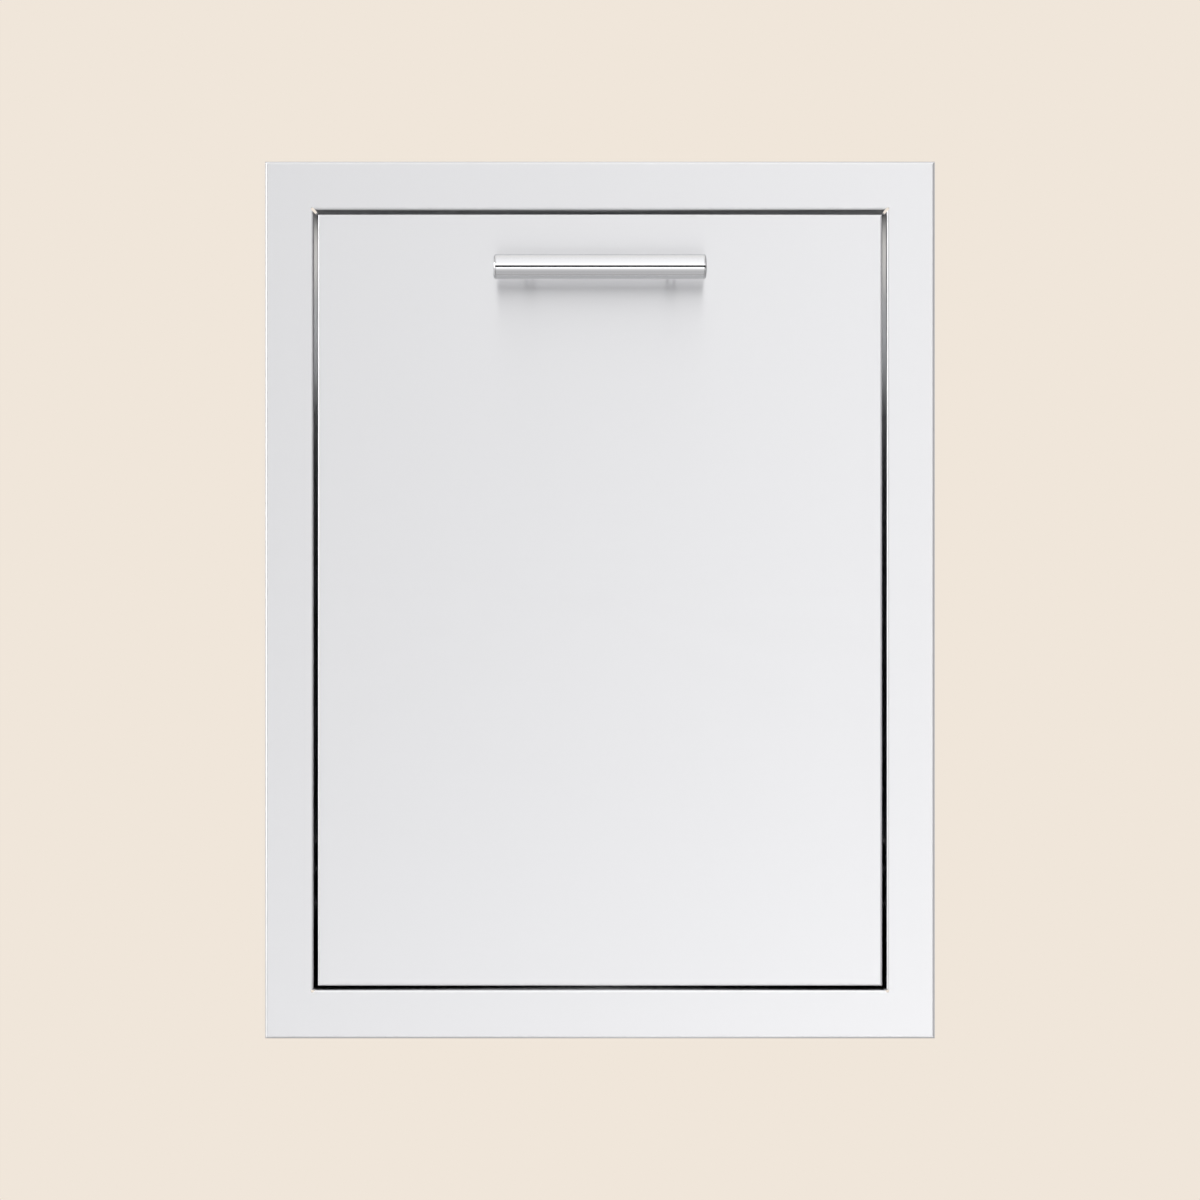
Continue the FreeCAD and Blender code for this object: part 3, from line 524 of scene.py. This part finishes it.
def soft_block(bm, low, high, radius, segments):
    """A block with every edge rounded."""
    matrix = Matrix.Translation((low + high) / 2) @ Matrix.Diagonal((*(high - low), 1))
    made = bmesh.ops.create_cube(bm, size=1, matrix=matrix)
    edges = list({edge for vert in made["verts"] for edge in vert.link_edges})
    bmesh.ops.bevel(
        bm, geom=edges, offset=radius, affect="EDGES", segments=segments, profile=0.5, material=-1
    )


# Operators

class DRAWER_OT_face(bpy.types.Operator):
    """Brush the face frame and the drawer front, and give the liner its mill finish"""

    bl_idname = "trash_drawer.face"
    bl_label = "Face Sheets"

    def execute(self, context):
        dress("brushed_stainless_face", "face_frame", "drawer_front")
        dress("mill_stainless_sheet", "drawer_front_liner")
        return {"FINISHED"}


class DRAWER_OT_handle(bpy.types.Operator):
    """Turn the handle's bar, its end caps and its posts"""

    bl_idname = "trash_drawer.handle"
    bl_label = "Handle"

    STEPS = 96
    SEAM = 0.1 * MM
    GROOVE = 0.4 * MM
    CAP_STEPS = 12
    CAP_SQUARENESS = 0.3  # 1 would make a cap's dome round, and 0 flat

    def execute(self, context):
        edge = context.scene.drawer_sizes.cap_edge
        low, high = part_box("handle_bar")
        centre = (low + high) / 2
        radius = (high.z - low.z) / 2
        seam = self.SEAM
        half = high.x - centre.x
        profile = [
            (0, -half),
            (radius - seam, -half),
            (radius, seam - half),
            (radius, half - seam),
            (radius - seam, half),
            (0, half),
        ]
        bm = copies(turned(profile, self.STEPS), [frame_to(centre, (1, 0, 0))])
        finish_piece(bm, "handle_bar_tube", "satin_stainless_handle", "handle_bar")
        for side, sign in zip(SIDES, SIGNS):
            seat = Vector((centre.x + sign * half, centre.y, centre.z))
            dome = [(0, 0), (radius - seam, 0)]
            for i in range(self.CAP_STEPS + 1):
                turn = QUARTER_TURN * i / self.CAP_STEPS
                across = radius * max(math.cos(turn), 0) ** self.CAP_SQUARENESS
                dome.append((across, seam + (edge - seam) * math.sin(turn)))
            dome[-1] = (0, edge)
            bm = copies(turned(dome, self.STEPS), [frame_to(seat, (sign, 0, 0))])
            finish_piece(bm, f"handle_cap_{side}_dome", "satin_stainless_handle", f"handle_cap_{side}")
            self.post(side)
        return {"FINISHED"}

    def post(self, side):
        """One post, with a turned groove at its foot."""
        low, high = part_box(f"handle_post_{side}")
        centre = (low + high) / 2
        radius = (high.x - low.x) / 2
        run = high.y - low.y
        groove = self.GROOVE
        profile = [
            (0, 0),
            (radius - groove, 0),
            (radius, groove),
            (radius, 3 * groove),
            (radius - groove, 4 * groove),
            (radius, 5 * groove),
            (radius, run),
            (0, run),
        ]
        foot = Vector((centre.x, high.y, centre.z))
        bm = copies(turned(profile, self.STEPS // 2), [frame_to(foot, (0, -1, 0))])
        finish_piece(bm, f"handle_post_{side}_turned", "satin_stainless_post", f"handle_post_{side}")


class DRAWER_OT_cabinet(bpy.types.Operator):
    """Finish the cabinet's sheets and brackets"""

    bl_idname = "trash_drawer.cabinet"
    bl_label = "Cabinet"

    def execute(self, context):
        dress("mill_stainless_sheet", "cabinet_base", "cabinet_back", *both("runner_bracket"))
        dress("mill_stainless_sheet", *(f"cabinet_{side}_side" for side in SIDES))
        return {"FINISHED"}


class DRAWER_OT_welds(bpy.types.Operator):
    """Print the spot welds that hold the cabinet's sides, brackets, base and frame together"""

    bl_idname = "trash_drawer.welds"
    bl_label = "Spot Welds"

    STEPS = 16
    # A print from its edge to its middle: shares of its radius and of its rim's height
    PRINT = ((1.0, 0.0), (0.9, 1.0), (0.7, 0.5), (0.0, 1 / 3))

    def execute(self, context):
        sizes = context.scene.drawer_sizes
        edge = sizes.weld_edge
        base_low, base_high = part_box("cabinet_base")
        spots = []
        for side, sign in zip(SIDES, SIGNS):
            low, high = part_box(f"cabinet_{side}_side")
            wall = sign * max(abs(low.x), abs(high.x))
            bracket_low, bracket_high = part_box(f"runner_bracket_{side}")
            for height in (bracket_low.z + edge, bracket_high.z - edge):
                ends = (wall, bracket_low.y, height), (wall, bracket_high.y, height)
                spots += self.line(sizes, sign, *ends)
            spots += self.line(sizes, sign, (wall, low.y + edge, low.z), (wall, low.y + edge, high.z))
            flange = sign * base_high.x
            foot = base_low.z + edge
            spots += self.line(sizes, sign, (flange, base_low.y, foot), (flange, base_high.y, foot))
        profile = [(across * sizes.weld_mark, up * sizes.weld_rim) for across, up in self.PRINT]
        bm = copies(turned(profile, self.STEPS), spots)
        base = "cabinet_base"
        finish_piece(bm, "cabinet_weld_prints", "spot_weld_print", base, slot=slot_of(base))
        return {"FINISHED"}

    def line(self, sizes, sign, start, end):
        """Places of spot welds along a line, half a pitch in from its ends."""
        start, end = Vector(start), Vector(end)
        count = round((end - start).length / sizes.weld_pitch)
        return [frame_to(start.lerp(end, (i + 0.5) / count), (sign, 0, 0)) for i in range(count)]


class DRAWER_OT_slides(bpy.types.Operator):
    """Plate the slides and their ball cages"""

    bl_idname = "trash_drawer.slides"
    bl_label = "Slides"

    def execute(self, context):
        dress("zinc_plated_strip", *both("slide_outer", "slide_middle", "slide_inner"))
        dress("zinc_plated_strip", *both("outer_ball_cage", "inner_ball_cage"))
        return {"FINISHED"}


class DRAWER_OT_balls(bpy.types.Operator):
    """Set round balls in the cages"""

    bl_idname = "trash_drawer.balls"
    bl_label = "Balls"

    SEGMENTS = 24

    def execute(self, context):
        for node in both("outer_balls", "inner_balls"):
            boxes = solids_of(node)
            radius = (boxes[0][1].y - boxes[0][0].y) / 2
            sphere = bmesh.new()
            bmesh.ops.create_uvsphere(
                sphere, u_segments=self.SEGMENTS, v_segments=self.SEGMENTS // 2, radius=radius
            )
            bm = copies(sphere, [Matrix.Translation((low + high) / 2) for low, high in boxes])
            finish_piece(bm, node + "_ground", "chrome_steel_ball", node)
        return {"FINISHED"}


class DRAWER_OT_buffers(bpy.types.Operator):
    """Mould the buffers at the rear of the slides"""

    bl_idname = "trash_drawer.buffers"
    bl_label = "Slide Buffers"

    ROUND = 1.0 * MM
    STEPS = 3

    def execute(self, context):
        for node in both("slide_stop"):
            bm = bmesh.new()
            soft_block(bm, *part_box(node), self.ROUND, self.STEPS)
            finish_piece(bm, node + "_buffer", "moulded_rubber_buffer", node)
        return {"FINISHED"}


class DRAWER_OT_levers(bpy.types.Operator):
    """Mould the release levers and turn their studs"""

    bl_idname = "trash_drawer.levers"
    bl_label = "Release Levers"

    TIP_RADIUS = 4.0 * MM
    ROUNDED = 0.98  # share of an end's radius, so that its two corners do not meet
    SOFT = 0.3 * MM
    RIM = 0.9 * MM
    HOLLOW = 0.5 * MM
    STUD_RADIUS = 1.5 * MM
    HEAD_HEIGHT = 0.8 * MM
    # A stud's head from its underside to its top: shares of its radius and of its height
    HEAD = ((1.0, 0.0), (1.0, 0.5), (0.8, 0.875), (0.4, 1.0), (0.0, 1.0))
    STEPS = 24

    def execute(self, context):
        for node in both("release_lever"):
            self.lever(node)
        self.studs()
        return {"FINISHED"}

    def studs(self):
        """The studs that the levers turn on, with domed heads on their outer ends."""
        solids = solids_of("release_lever_pivots")
        places = []
        for low, high in solids:
            sign = math.copysign(1, low.x)
            foot = min(abs(low.x), abs(high.x))
            middle = (low + high) / 2
            places.append(frame_to((sign * foot, middle.y, middle.z), (sign, 0, 0)))
        low, high = solids[0]
        head = (high.z - low.z) / 2
        neck = high.x - low.x - self.HEAD_HEIGHT
        profile = [(0, 0), (self.STUD_RADIUS, 0), (self.STUD_RADIUS, neck)]
        profile += [(across * head, neck + up * self.HEAD_HEIGHT) for across, up in self.HEAD]
        bm = copies(turned(profile, self.STEPS), places)
        finish_piece(bm, "release_lever_studs", "turned_stainless_screw", "release_lever_pivots")

    def lever(self, node):
        """One moulded lever: wide at its pivot, narrow and hollowed for the finger at its tip."""
        low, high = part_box(node)
        tall = high.x - low.x
        wide = high.z - low.z
        centre = (low + high) / 2
        along = (high.y - low.y) / 2
        root, tip = wide / 2, self.TIP_RADIUS
        bm = bmesh.new()
        corners = [(-along, -root), (along, -tip), (along, tip), (-along, root)]
        verts = [bm.verts.new((*corner, 0)) for corner in corners]
        bm.faces.new(verts)
        for pair, radius in (((verts[0], verts[3]), root), ((verts[1], verts[2]), tip)):
            bmesh.ops.bevel(
                bm,
                geom=list(pair),
                offset=self.ROUNDED * radius,
                offset_type="OFFSET",
                affect="VERTICES",
                segments=self.STEPS // 4,
                profile=0.5,
                material=-1,
            )
        face = bm.faces[:][0]
        face = step_in(bm, face, 0, tall - self.SOFT)
        face = step_in(bm, face, self.SOFT, self.SOFT)
        face = step_in(bm, face, self.RIM, 0)
        step_in(bm, face, self.SOFT, -self.HOLLOW)
        # Lay the lever's length along Y and its thickness along X, away from the tray
        turn = Matrix(((0, 0, 1, 0), (1, 0, 0, 0), (0, 1, 0, 0), (0, 0, 0, 1)))
        start = low.x
        if low.x < 0:
            turn = Matrix.Diagonal((-1, 1, 1, 1)) @ turn
            start = high.x
        place = Matrix.Translation((start, centre.y, centre.z)) @ turn
        finish_piece(copies(bm, [place]), node + "_moulded", "moulded_nylon_lever", node)


class DRAWER_OT_tray(bpy.types.Operator):
    """Finish the tray, its walls, its divider and its braces"""

    bl_idname = "trash_drawer.tray"
    bl_label = "Tray"

    def execute(self, context):
        dress("mill_stainless_sheet", "tray_pan", "tray_front_wall", "tray_rear_wall", "bin_divider")
        dress("mill_stainless_sheet", *both("front_brace"))
        return {"FINISHED"}


class DRAWER_OT_bins(bpy.types.Operator):
    """Mould the two bins with rounded rims and feet"""

    bl_idname = "trash_drawer.bins"
    bl_label = "Bins"

    WALL = 2.0 * MM
    LIP = 9.0 * MM
    SKIRT = 14.0 * MM
    TAPER = 15.0 * MM
    CORNER = 44.0 * MM
    FOOT = 8.0 * MM
    LEDGE_DROP = 58.0 * MM
    CORNER_STEPS = 12
    ROUND_STEPS = 4

    def execute(self, context):
        for node in ("front_bin", "rear_bin"):
            self.mould(context.scene.drawer_sizes, node)
        return {"FINISHED"}

    def mould(self, sizes, node):
        """One bin: a wall over the rim and down its inside, and one under the rim and down its outside."""
        low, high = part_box(node)
        half = (high - low) / 2
        tall = high.z - low.z
        edge = Vector(((low.x + high.x) / 2, (low.y + high.y) / 2, high.z - self.SKIRT))
        rim = sizes.rim_round
        bm = bmesh.new()
        inner_top = self.LIP + self.WALL
        over = [(0, self.SKIRT - rim)] + quarter(rim, self.ROUND_STEPS, False)
        over += [(inner_top - 2 * rim, 0)]
        over += [(across, -along) for across, along in quarter(rim, self.ROUND_STEPS, True)]
        inside_foot = self.FOOT - self.WALL
        over += self.wall(sizes, tall - rim - self.FOOT, self.LEDGE_DROP - rim)
        over += [(across, -along) for across, along in quarter(inside_foot, self.ROUND_STEPS, False)]
        under = [(self.WALL, 0), (0, self.SKIRT - self.WALL), (self.LIP - self.WALL, 0)]
        under += self.wall(sizes, tall - self.WALL - self.FOOT, self.LEDGE_DROP - self.WALL)
        under += [(across, -along) for across, along in quarter(self.FOOT, self.ROUND_STEPS, False)]
        for path in (over, under):
            face = rounded_sheet(bm, half.x, half.y, self.CORNER, edge, self.CORNER_STEPS)
            for inward, rise in path:
                face = step_in(bm, face, inward, rise)
        finish_piece(bm, node + "_moulded", "moulded_polyethylene_bin", node)

    def wall(self, sizes, drop, ledge_drop):
        """A tapering wall with a stacking ledge moulded round it below the rim."""
        ledge = sizes.bin_ledge
        lean = (self.TAPER - ledge) / (drop - 2 * ledge)
        lower = drop - ledge_drop - 2 * ledge
        return [(lean * ledge_drop, -ledge_drop), (ledge, -2 * ledge), (lean * lower, -lower)]


class DRAWER_OT_screws(bpy.types.Operator):
    """Turn the screws, with their chamfers and their hexagon heads or sockets"""

    bl_idname = "trash_drawer.screws"
    bl_label = "Screws"

    STEPS = 36
    HANDLE_SHANK, HANDLE_HEAD = 2.5 * MM, 3.0 * MM
    TRAY_SHANK, TRAY_HEAD = 2.0 * MM, 2.4 * MM
    FRONT_SHANK, FRONT_HEAD, FRONT_FLATS = 2.5 * MM, 3.0 * MM, 8.0 * MM
    RUNNER_SHANK, RUNNER_CONE, RUNNER_EDGE = 2.0 * MM, 1.2 * MM, 0.1 * MM
    PAN_FLATS, FLAT_FLATS = 1.2, 1.1  # width of a hexagon socket, as a share of the shank's radius
    # A pan head from its side to its socket: shares of its radius, and of its height down from the top
    PAN_DOME = ((1.0, 0.6), (0.94, 0.3), (0.78, 0.1), (0.55, 0.0))
    PAN_SOCKET = (0.5, 0.55)  # depth of a socket's wall and of its middle, as shares of the head
    FLAT_SOCKET = (1.0, 1.1)  # the same, as shares of the cone

    def execute(self, context):
        soft = context.scene.drawer_sizes.screw_round
        self.hexagon_heads(soft)
        self.pan_heads("handle_screws", (0, 1, 0), self.HANDLE_SHANK, self.HANDLE_HEAD, soft)
        self.pan_heads("tray_screws", None, self.TRAY_SHANK, self.TRAY_HEAD, soft)
        self.flat_heads(soft)
        return {"FINISHED"}

    def places(self, node, outward):
        """The middle of each screw of a group, the way that its head faces, and its size."""
        for low, high in solids_of(node):
            middle = (low + high) / 2
            facing = outward or (math.copysign(1, middle.x), 0, 0)
            yield middle, Vector(facing), high - low

    def set_screws(self, node, shape, outward, turn=1):
        """Put copies of a screw, with its head's end at zero and its tip below, in a group's places."""
        spots = []
        for middle, facing, size in self.places(node, outward):
            facing *= turn
            reach = abs(facing.dot(size)) / 2
            spots.append(frame_to(middle + facing * reach, facing))
        finish_piece(copies(shape, spots), node + "_turned", "turned_stainless_screw", node)

    def shank(self, tall, radius, soft, end):
        """The profile of a chamfered shank, from its tip to its head."""
        return [(0, -tall), (radius - soft, -tall), (radius, soft - tall), (radius, end)]

    def hexagon_heads(self, soft):
        """Hexagon heads with a turned chamfer on the outer face, over a shank that ends inside them."""
        low, high = solids_of("front_screws")[0]
        head = self.FRONT_HEAD
        buried = soft - head
        profile = self.shank(high.y - low.y, self.FRONT_SHANK, soft, buried) + [(0, buried)]
        bm = turned(profile, self.STEPS)
        corner = self.FRONT_FLATS / 2 / math.cos(FULL_TURN / 12)
        place = Matrix.Translation((0, 0, -head))
        made = bmesh.ops.create_circle(bm, cap_ends=True, segments=6, radius=corner, matrix=place)
        face = made["verts"][0].link_faces[0]
        for inward, rise in ((0, head - soft), (1.5 * soft, soft), (soft, 0), (soft, -soft / 2)):
            face = step_in(bm, face, inward, rise)
        self.set_screws("front_screws", bm, (0, 1, 0))

    def pan_heads(self, node, outward, shank, head, soft):
        """Low domed heads with a hexagon socket."""
        low, high = solids_of(node)[0]
        size = high - low
        tall = size.y if outward else size.x
        radius = size.z / 2
        flats = self.PAN_FLATS * shank
        wall, floor = self.PAN_SOCKET
        profile = self.shank(tall, shank, soft, -head)
        profile += [(radius - soft / 2, -head), (radius, soft / 2 - head)]
        profile += [(across * radius, -down * head) for across, down in self.PAN_DOME]
        profile += [(flats / 2, 0), (flats / 2, -wall * head), (0, -floor * head)]
        bm = turned(profile, self.STEPS)
        hex_socket(bm, flats)
        self.set_screws(node, bm, outward)

    def flat_heads(self, soft):
        """Countersunk heads with a hexagon socket, level with the slide's web."""
        low, high = solids_of("runner_screws")[0]
        radius = (high.z - low.z) / 2
        edge = self.RUNNER_EDGE
        flats = self.FLAT_FLATS * self.RUNNER_SHANK
        wall, floor = (share * self.RUNNER_CONE for share in self.FLAT_SOCKET)
        profile = self.shank(high.x - low.x, self.RUNNER_SHANK, soft, -self.RUNNER_CONE)
        profile += [(radius, -edge), (radius - edge, 0)]
        profile += [(flats / 2, 0), (flats / 2, -wall), (0, -floor)]
        bm = turned(profile, self.STEPS)
        hex_socket(bm, flats)
        self.set_screws("runner_screws", bm, None, -1)


class DRAWER_OT_stage(bpy.types.Operator):
    """Set the camera, the soft lamps, the backdrop and the floor"""

    bl_idname = "trash_drawer.stage"
    bl_label = "Stage"

    # The room in front by elevation in degrees, as shares of its brightest level below and above the lens,
    # and where the dark line between the two starts and ends
    ROOM_BELOW = (
        (-90, 0.28), (-60, 0.265), (-45, 0.29), (-35, 0.365), (-25, 0.52), (-16, 0.8), (-12.5, 1.0),
    )
    ROOM_LINE = (-11.5, 5)
    ROOM_ABOVE = (
        (6, 1.0), (12, 0.96), (22, 0.805), (27, 0.525), (60, 0.47), (75, 0.41), (90, 0.305),
    )
    # The room in front from left to right, and the room behind from floor to ceiling
    ROOM_ACROSS = ((0.0, 0.5), (0.14, 0.5), (0.3, 0.6), (0.4, 0.87), (0.6, 1.13), (0.7, 0.6))
    ROOM_BEHIND = ((0.0, 0.45), (0.4, 0.72), (0.52, 1.0), (0.75, 0.95), (1.0, 0.7))
    ROOM_EDGE = 0.3  # how softly the room in front gives way to the room behind
    # Each lamp's setting, place, aim, width and height
    LAMPS = {
        "top_box": ("top_light", (0, -1.79, 2.18), (0, 0, 0.25), 3.0, 2.3),
        "left_box": ("left_light", (-2.65, -1.2, 0.6), (0, 0, 0), 2.4, 1.8),
        "overhead_box": ("overhead_light", (0, 0.3, 3.0), (0, 0.3, 0), 3.0, 2.4),
    }
    FLOOR_STEPS = 96
    FLOOR_FADE = 0.45  # where the floor starts to fade, as a share of its radius
    PAPER_ROUGHNESS = 0.9
    PAPER_SHEEN = 0.1

    def execute(self, context):
        stage = context.scene.drawer_stage
        colours = context.scene.drawer_colours
        face_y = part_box("face_frame")[0].y
        self.camera(context.scene, stage, face_y)
        self.world(context.scene, stage, colours)
        self.lamps(context.scene, stage, colours)
        self.floor(context.scene, stage, colours)
        context.scene.view_settings.view_transform = "Standard"
        return {"FINISHED"}

    def camera(self, scene, stage, face_y):
        """A camera straight in front of the face, level with its middle."""
        data = bpy.data.cameras.new("front_camera")
        data.lens = data.sensor_width * stage.camera_distance / stage.view_width
        camera = bpy.data.objects.new("front_camera", data)
        camera.location = (0, face_y - stage.camera_distance, 0)
        camera.rotation_euler = (QUARTER_TURN, 0, 0)
        scene.collection.objects.link(camera)
        scene.camera = camera

    def world(self, scene, stage, colours):
        """The backdrop for the eye, a room in front and behind for metal, and a plain fill for the rest."""
        world = bpy.data.worlds.new("pale_backdrop")
        scene.world = world
        world.use_nodes = True
        tree = world.node_tree
        tree.nodes.clear()
        path = add_node(tree, "ShaderNodeLightPath").outputs
        direction = add_node(tree, "ShaderNodeTexCoord").outputs["Generated"]
        axes = add_node(tree, "ShaderNodeSeparateXYZ", {"Vector": direction}).outputs
        height = between(tree, axes["Z"], -1.0, 1.0)
        across = between(tree, axes["X"], -1.0, 1.0)
        edge = self.ROOM_EDGE
        behind = between(tree, axes["Y"], -edge, edge, interpolation_type="SMOOTHSTEP")
        stops = [(elevation, share * stage.room_low) for elevation, share in self.ROOM_BELOW]
        stops += [(elevation, stage.room_line) for elevation in self.ROOM_LINE]
        stops += [(elevation, share * stage.room_high) for elevation, share in self.ROOM_ABOVE]
        stops = [((math.sin(math.radians(elevation)) + 1) / 2, value) for elevation, value in stops]
        tall = self.ramp(tree, height, stops)
        wide = self.ramp(tree, across, [*self.ROOM_ACROSS, (1.0, stage.room_side)])
        fall = self.ramp(tree, height, self.ROOM_BEHIND)
        room = self.glow(tree, tall, wide)
        shaded = self.glow(tree, list(colours.room), fall)
        fill = self.glow(tree, list(colours.lamp), stage.fill_light)
        pale = self.glow(tree, list(colours.backdrop), 1.0)
        seen = {0: path["Is Camera Ray"], 1: path["Is Transmission Ray"]}
        seen = add_node(tree, "ShaderNodeMath", seen, operation="MAXIMUM").outputs[0]
        metal = self.choice(tree, behind, room, shaded)
        other = self.choice(tree, path["Is Glossy Ray"], fill, metal)
        add_node(tree, "ShaderNodeOutputWorld", {"Surface": self.choice(tree, seen, other, pale)})

    def glow(self, tree, colour_value, strength):
        """A light of the world, with its colour and strength set or linked."""
        inputs = {"Color": colour_value, "Strength": strength}
        return add_node(tree, "ShaderNodeBackground", inputs).outputs[0]

    def choice(self, tree, share, first, second):
        """Two lights of the world, mixed by the share of the second."""
        return add_node(tree, "ShaderNodeMixShader", {0: share, 1: first, 2: second}).outputs[0]

    def ramp(self, tree, value, stops):
        """Grey levels blended between stops along a value from 0 to 1."""
        node = add_node(tree, "ShaderNodeValToRGB", {"Fac": value})
        elements = node.color_ramp.elements
        while len(elements) < len(stops):
            elements.new(0.5)
        for element, (position, strength) in zip(elements, stops):
            element.position = position
            element.color = (strength, strength, strength, 1.0)
        return node.outputs["Color"]

    def lamps(self, scene, stage, colours):
        """Soft boxes, whose radiance does not depend on their size."""
        for name, (setting, place, aim, width, height) in self.LAMPS.items():
            data = bpy.data.lights.new(name, "AREA")
            data.shape = "RECTANGLE"
            data.size = width
            data.size_y = height
            data.energy = getattr(stage, setting) * math.pi * width * height
            data.color = colours.lamp[:3]
            lamp = bpy.data.objects.new(name, data)
            lamp.location = place
            lamp.rotation_euler = (Vector(aim) - Vector(place)).to_track_quat("-Z", "Y").to_euler()
            lamp.visible_camera = False
            scene.collection.objects.link(lamp)

    def floor(self, scene, stage, colours):
        """A pale disc far enough down that only its soft shadow ties the drawer to it."""
        bm = bmesh.new()
        level_z = CAD_BOUNDS[0].z - stage.floor_drop
        middle = (CAD_BOUNDS[0] + CAD_BOUNDS[1]) / 2
        place = Matrix.Translation((middle.x, middle.y, level_z))
        radius = stage.floor_radius
        bmesh.ops.create_circle(bm, cap_ends=True, segments=self.FLOOR_STEPS, radius=radius, matrix=place)
        mesh = bpy.data.meshes.new("studio_floor")
        bm.to_mesh(mesh)
        bm.free()
        floor = bpy.data.objects.new("studio_floor", mesh)
        scene.collection.objects.link(floor)
        floor.visible_glossy = False
        material, tree, shader, coordinates = new_material("pale_paper_floor")
        shader.inputs["Base Color"].default_value = list(colours.backdrop)
        shader.inputs["Roughness"].default_value = self.PAPER_ROUGHNESS
        shader.inputs["Specular IOR Level"].default_value = self.PAPER_SHEEN
        shift = {"Vector": coordinates, "Location": (-middle.x, -middle.y, -level_z)}
        centred = add_node(tree, "ShaderNodeMapping", shift)
        reach = add_node(tree, "ShaderNodeVectorMath", {0: centred.outputs[0]}, operation="LENGTH")
        fade = between(
            tree,
            reach.outputs["Value"],
            self.FLOOR_FADE * radius,
            radius,
            low=1.0,
            high=0.0,
            interpolation_type="SMOOTHSTEP",
        )
        tree.links.new(fade, shader.inputs["Alpha"])
        mesh.materials.append(material)


class DRAWER_PT_panel(bpy.types.Panel):
    """Lists the drawer's pieces"""

    bl_idname = "DRAWER_PT_panel"
    bl_label = "Trash Drawer"
    bl_space_type = "VIEW_3D"
    bl_region_type = "UI"
    bl_category = "Trash Drawer"

    def draw(self, context):
        for operator in OPERATORS:
            self.layout.operator(operator.bl_idname)
        for group in ("drawer_colours", "drawer_sizes", "drawer_stage"):
            settings = getattr(context.scene, group)
            box = self.layout.box()
            for name in settings.__annotations__:
                box.prop(settings, name)


OPERATORS = (
    DRAWER_OT_stage,
    DRAWER_OT_face,
    DRAWER_OT_handle,
    DRAWER_OT_cabinet,
    DRAWER_OT_welds,
    DRAWER_OT_slides,
    DRAWER_OT_balls,
    DRAWER_OT_buffers,
    DRAWER_OT_levers,
    DRAWER_OT_tray,
    DRAWER_OT_bins,
    DRAWER_OT_screws,
)
GROUPS = {"drawer_colours": DrawerColours, "drawer_sizes": DrawerSizes, "drawer_stage": DrawerStage}


def register():
    """Register the settings, the operators and the panel."""
    for group in GROUPS.values():
        bpy.utils.register_class(group)
    for name, group in GROUPS.items():
        setattr(bpy.types.Scene, name, PointerProperty(type=group))
    for operator in OPERATORS:
        bpy.utils.register_class(operator)
    bpy.utils.register_class(DRAWER_PT_panel)


def unregister():
    """Take back what register did."""
    bpy.utils.unregister_class(DRAWER_PT_panel)
    for operator in reversed(OPERATORS):
        bpy.utils.unregister_class(operator)
    for name, group in GROUPS.items():
        delattr(bpy.types.Scene, name)
        bpy.utils.unregister_class(group)


def main():
    """Run every operator."""
    register()
    for operator in OPERATORS:
        group, name = operator.bl_idname.split(".")
        getattr(getattr(bpy.ops, group), name)()


if __name__ == "__main__":
    main()
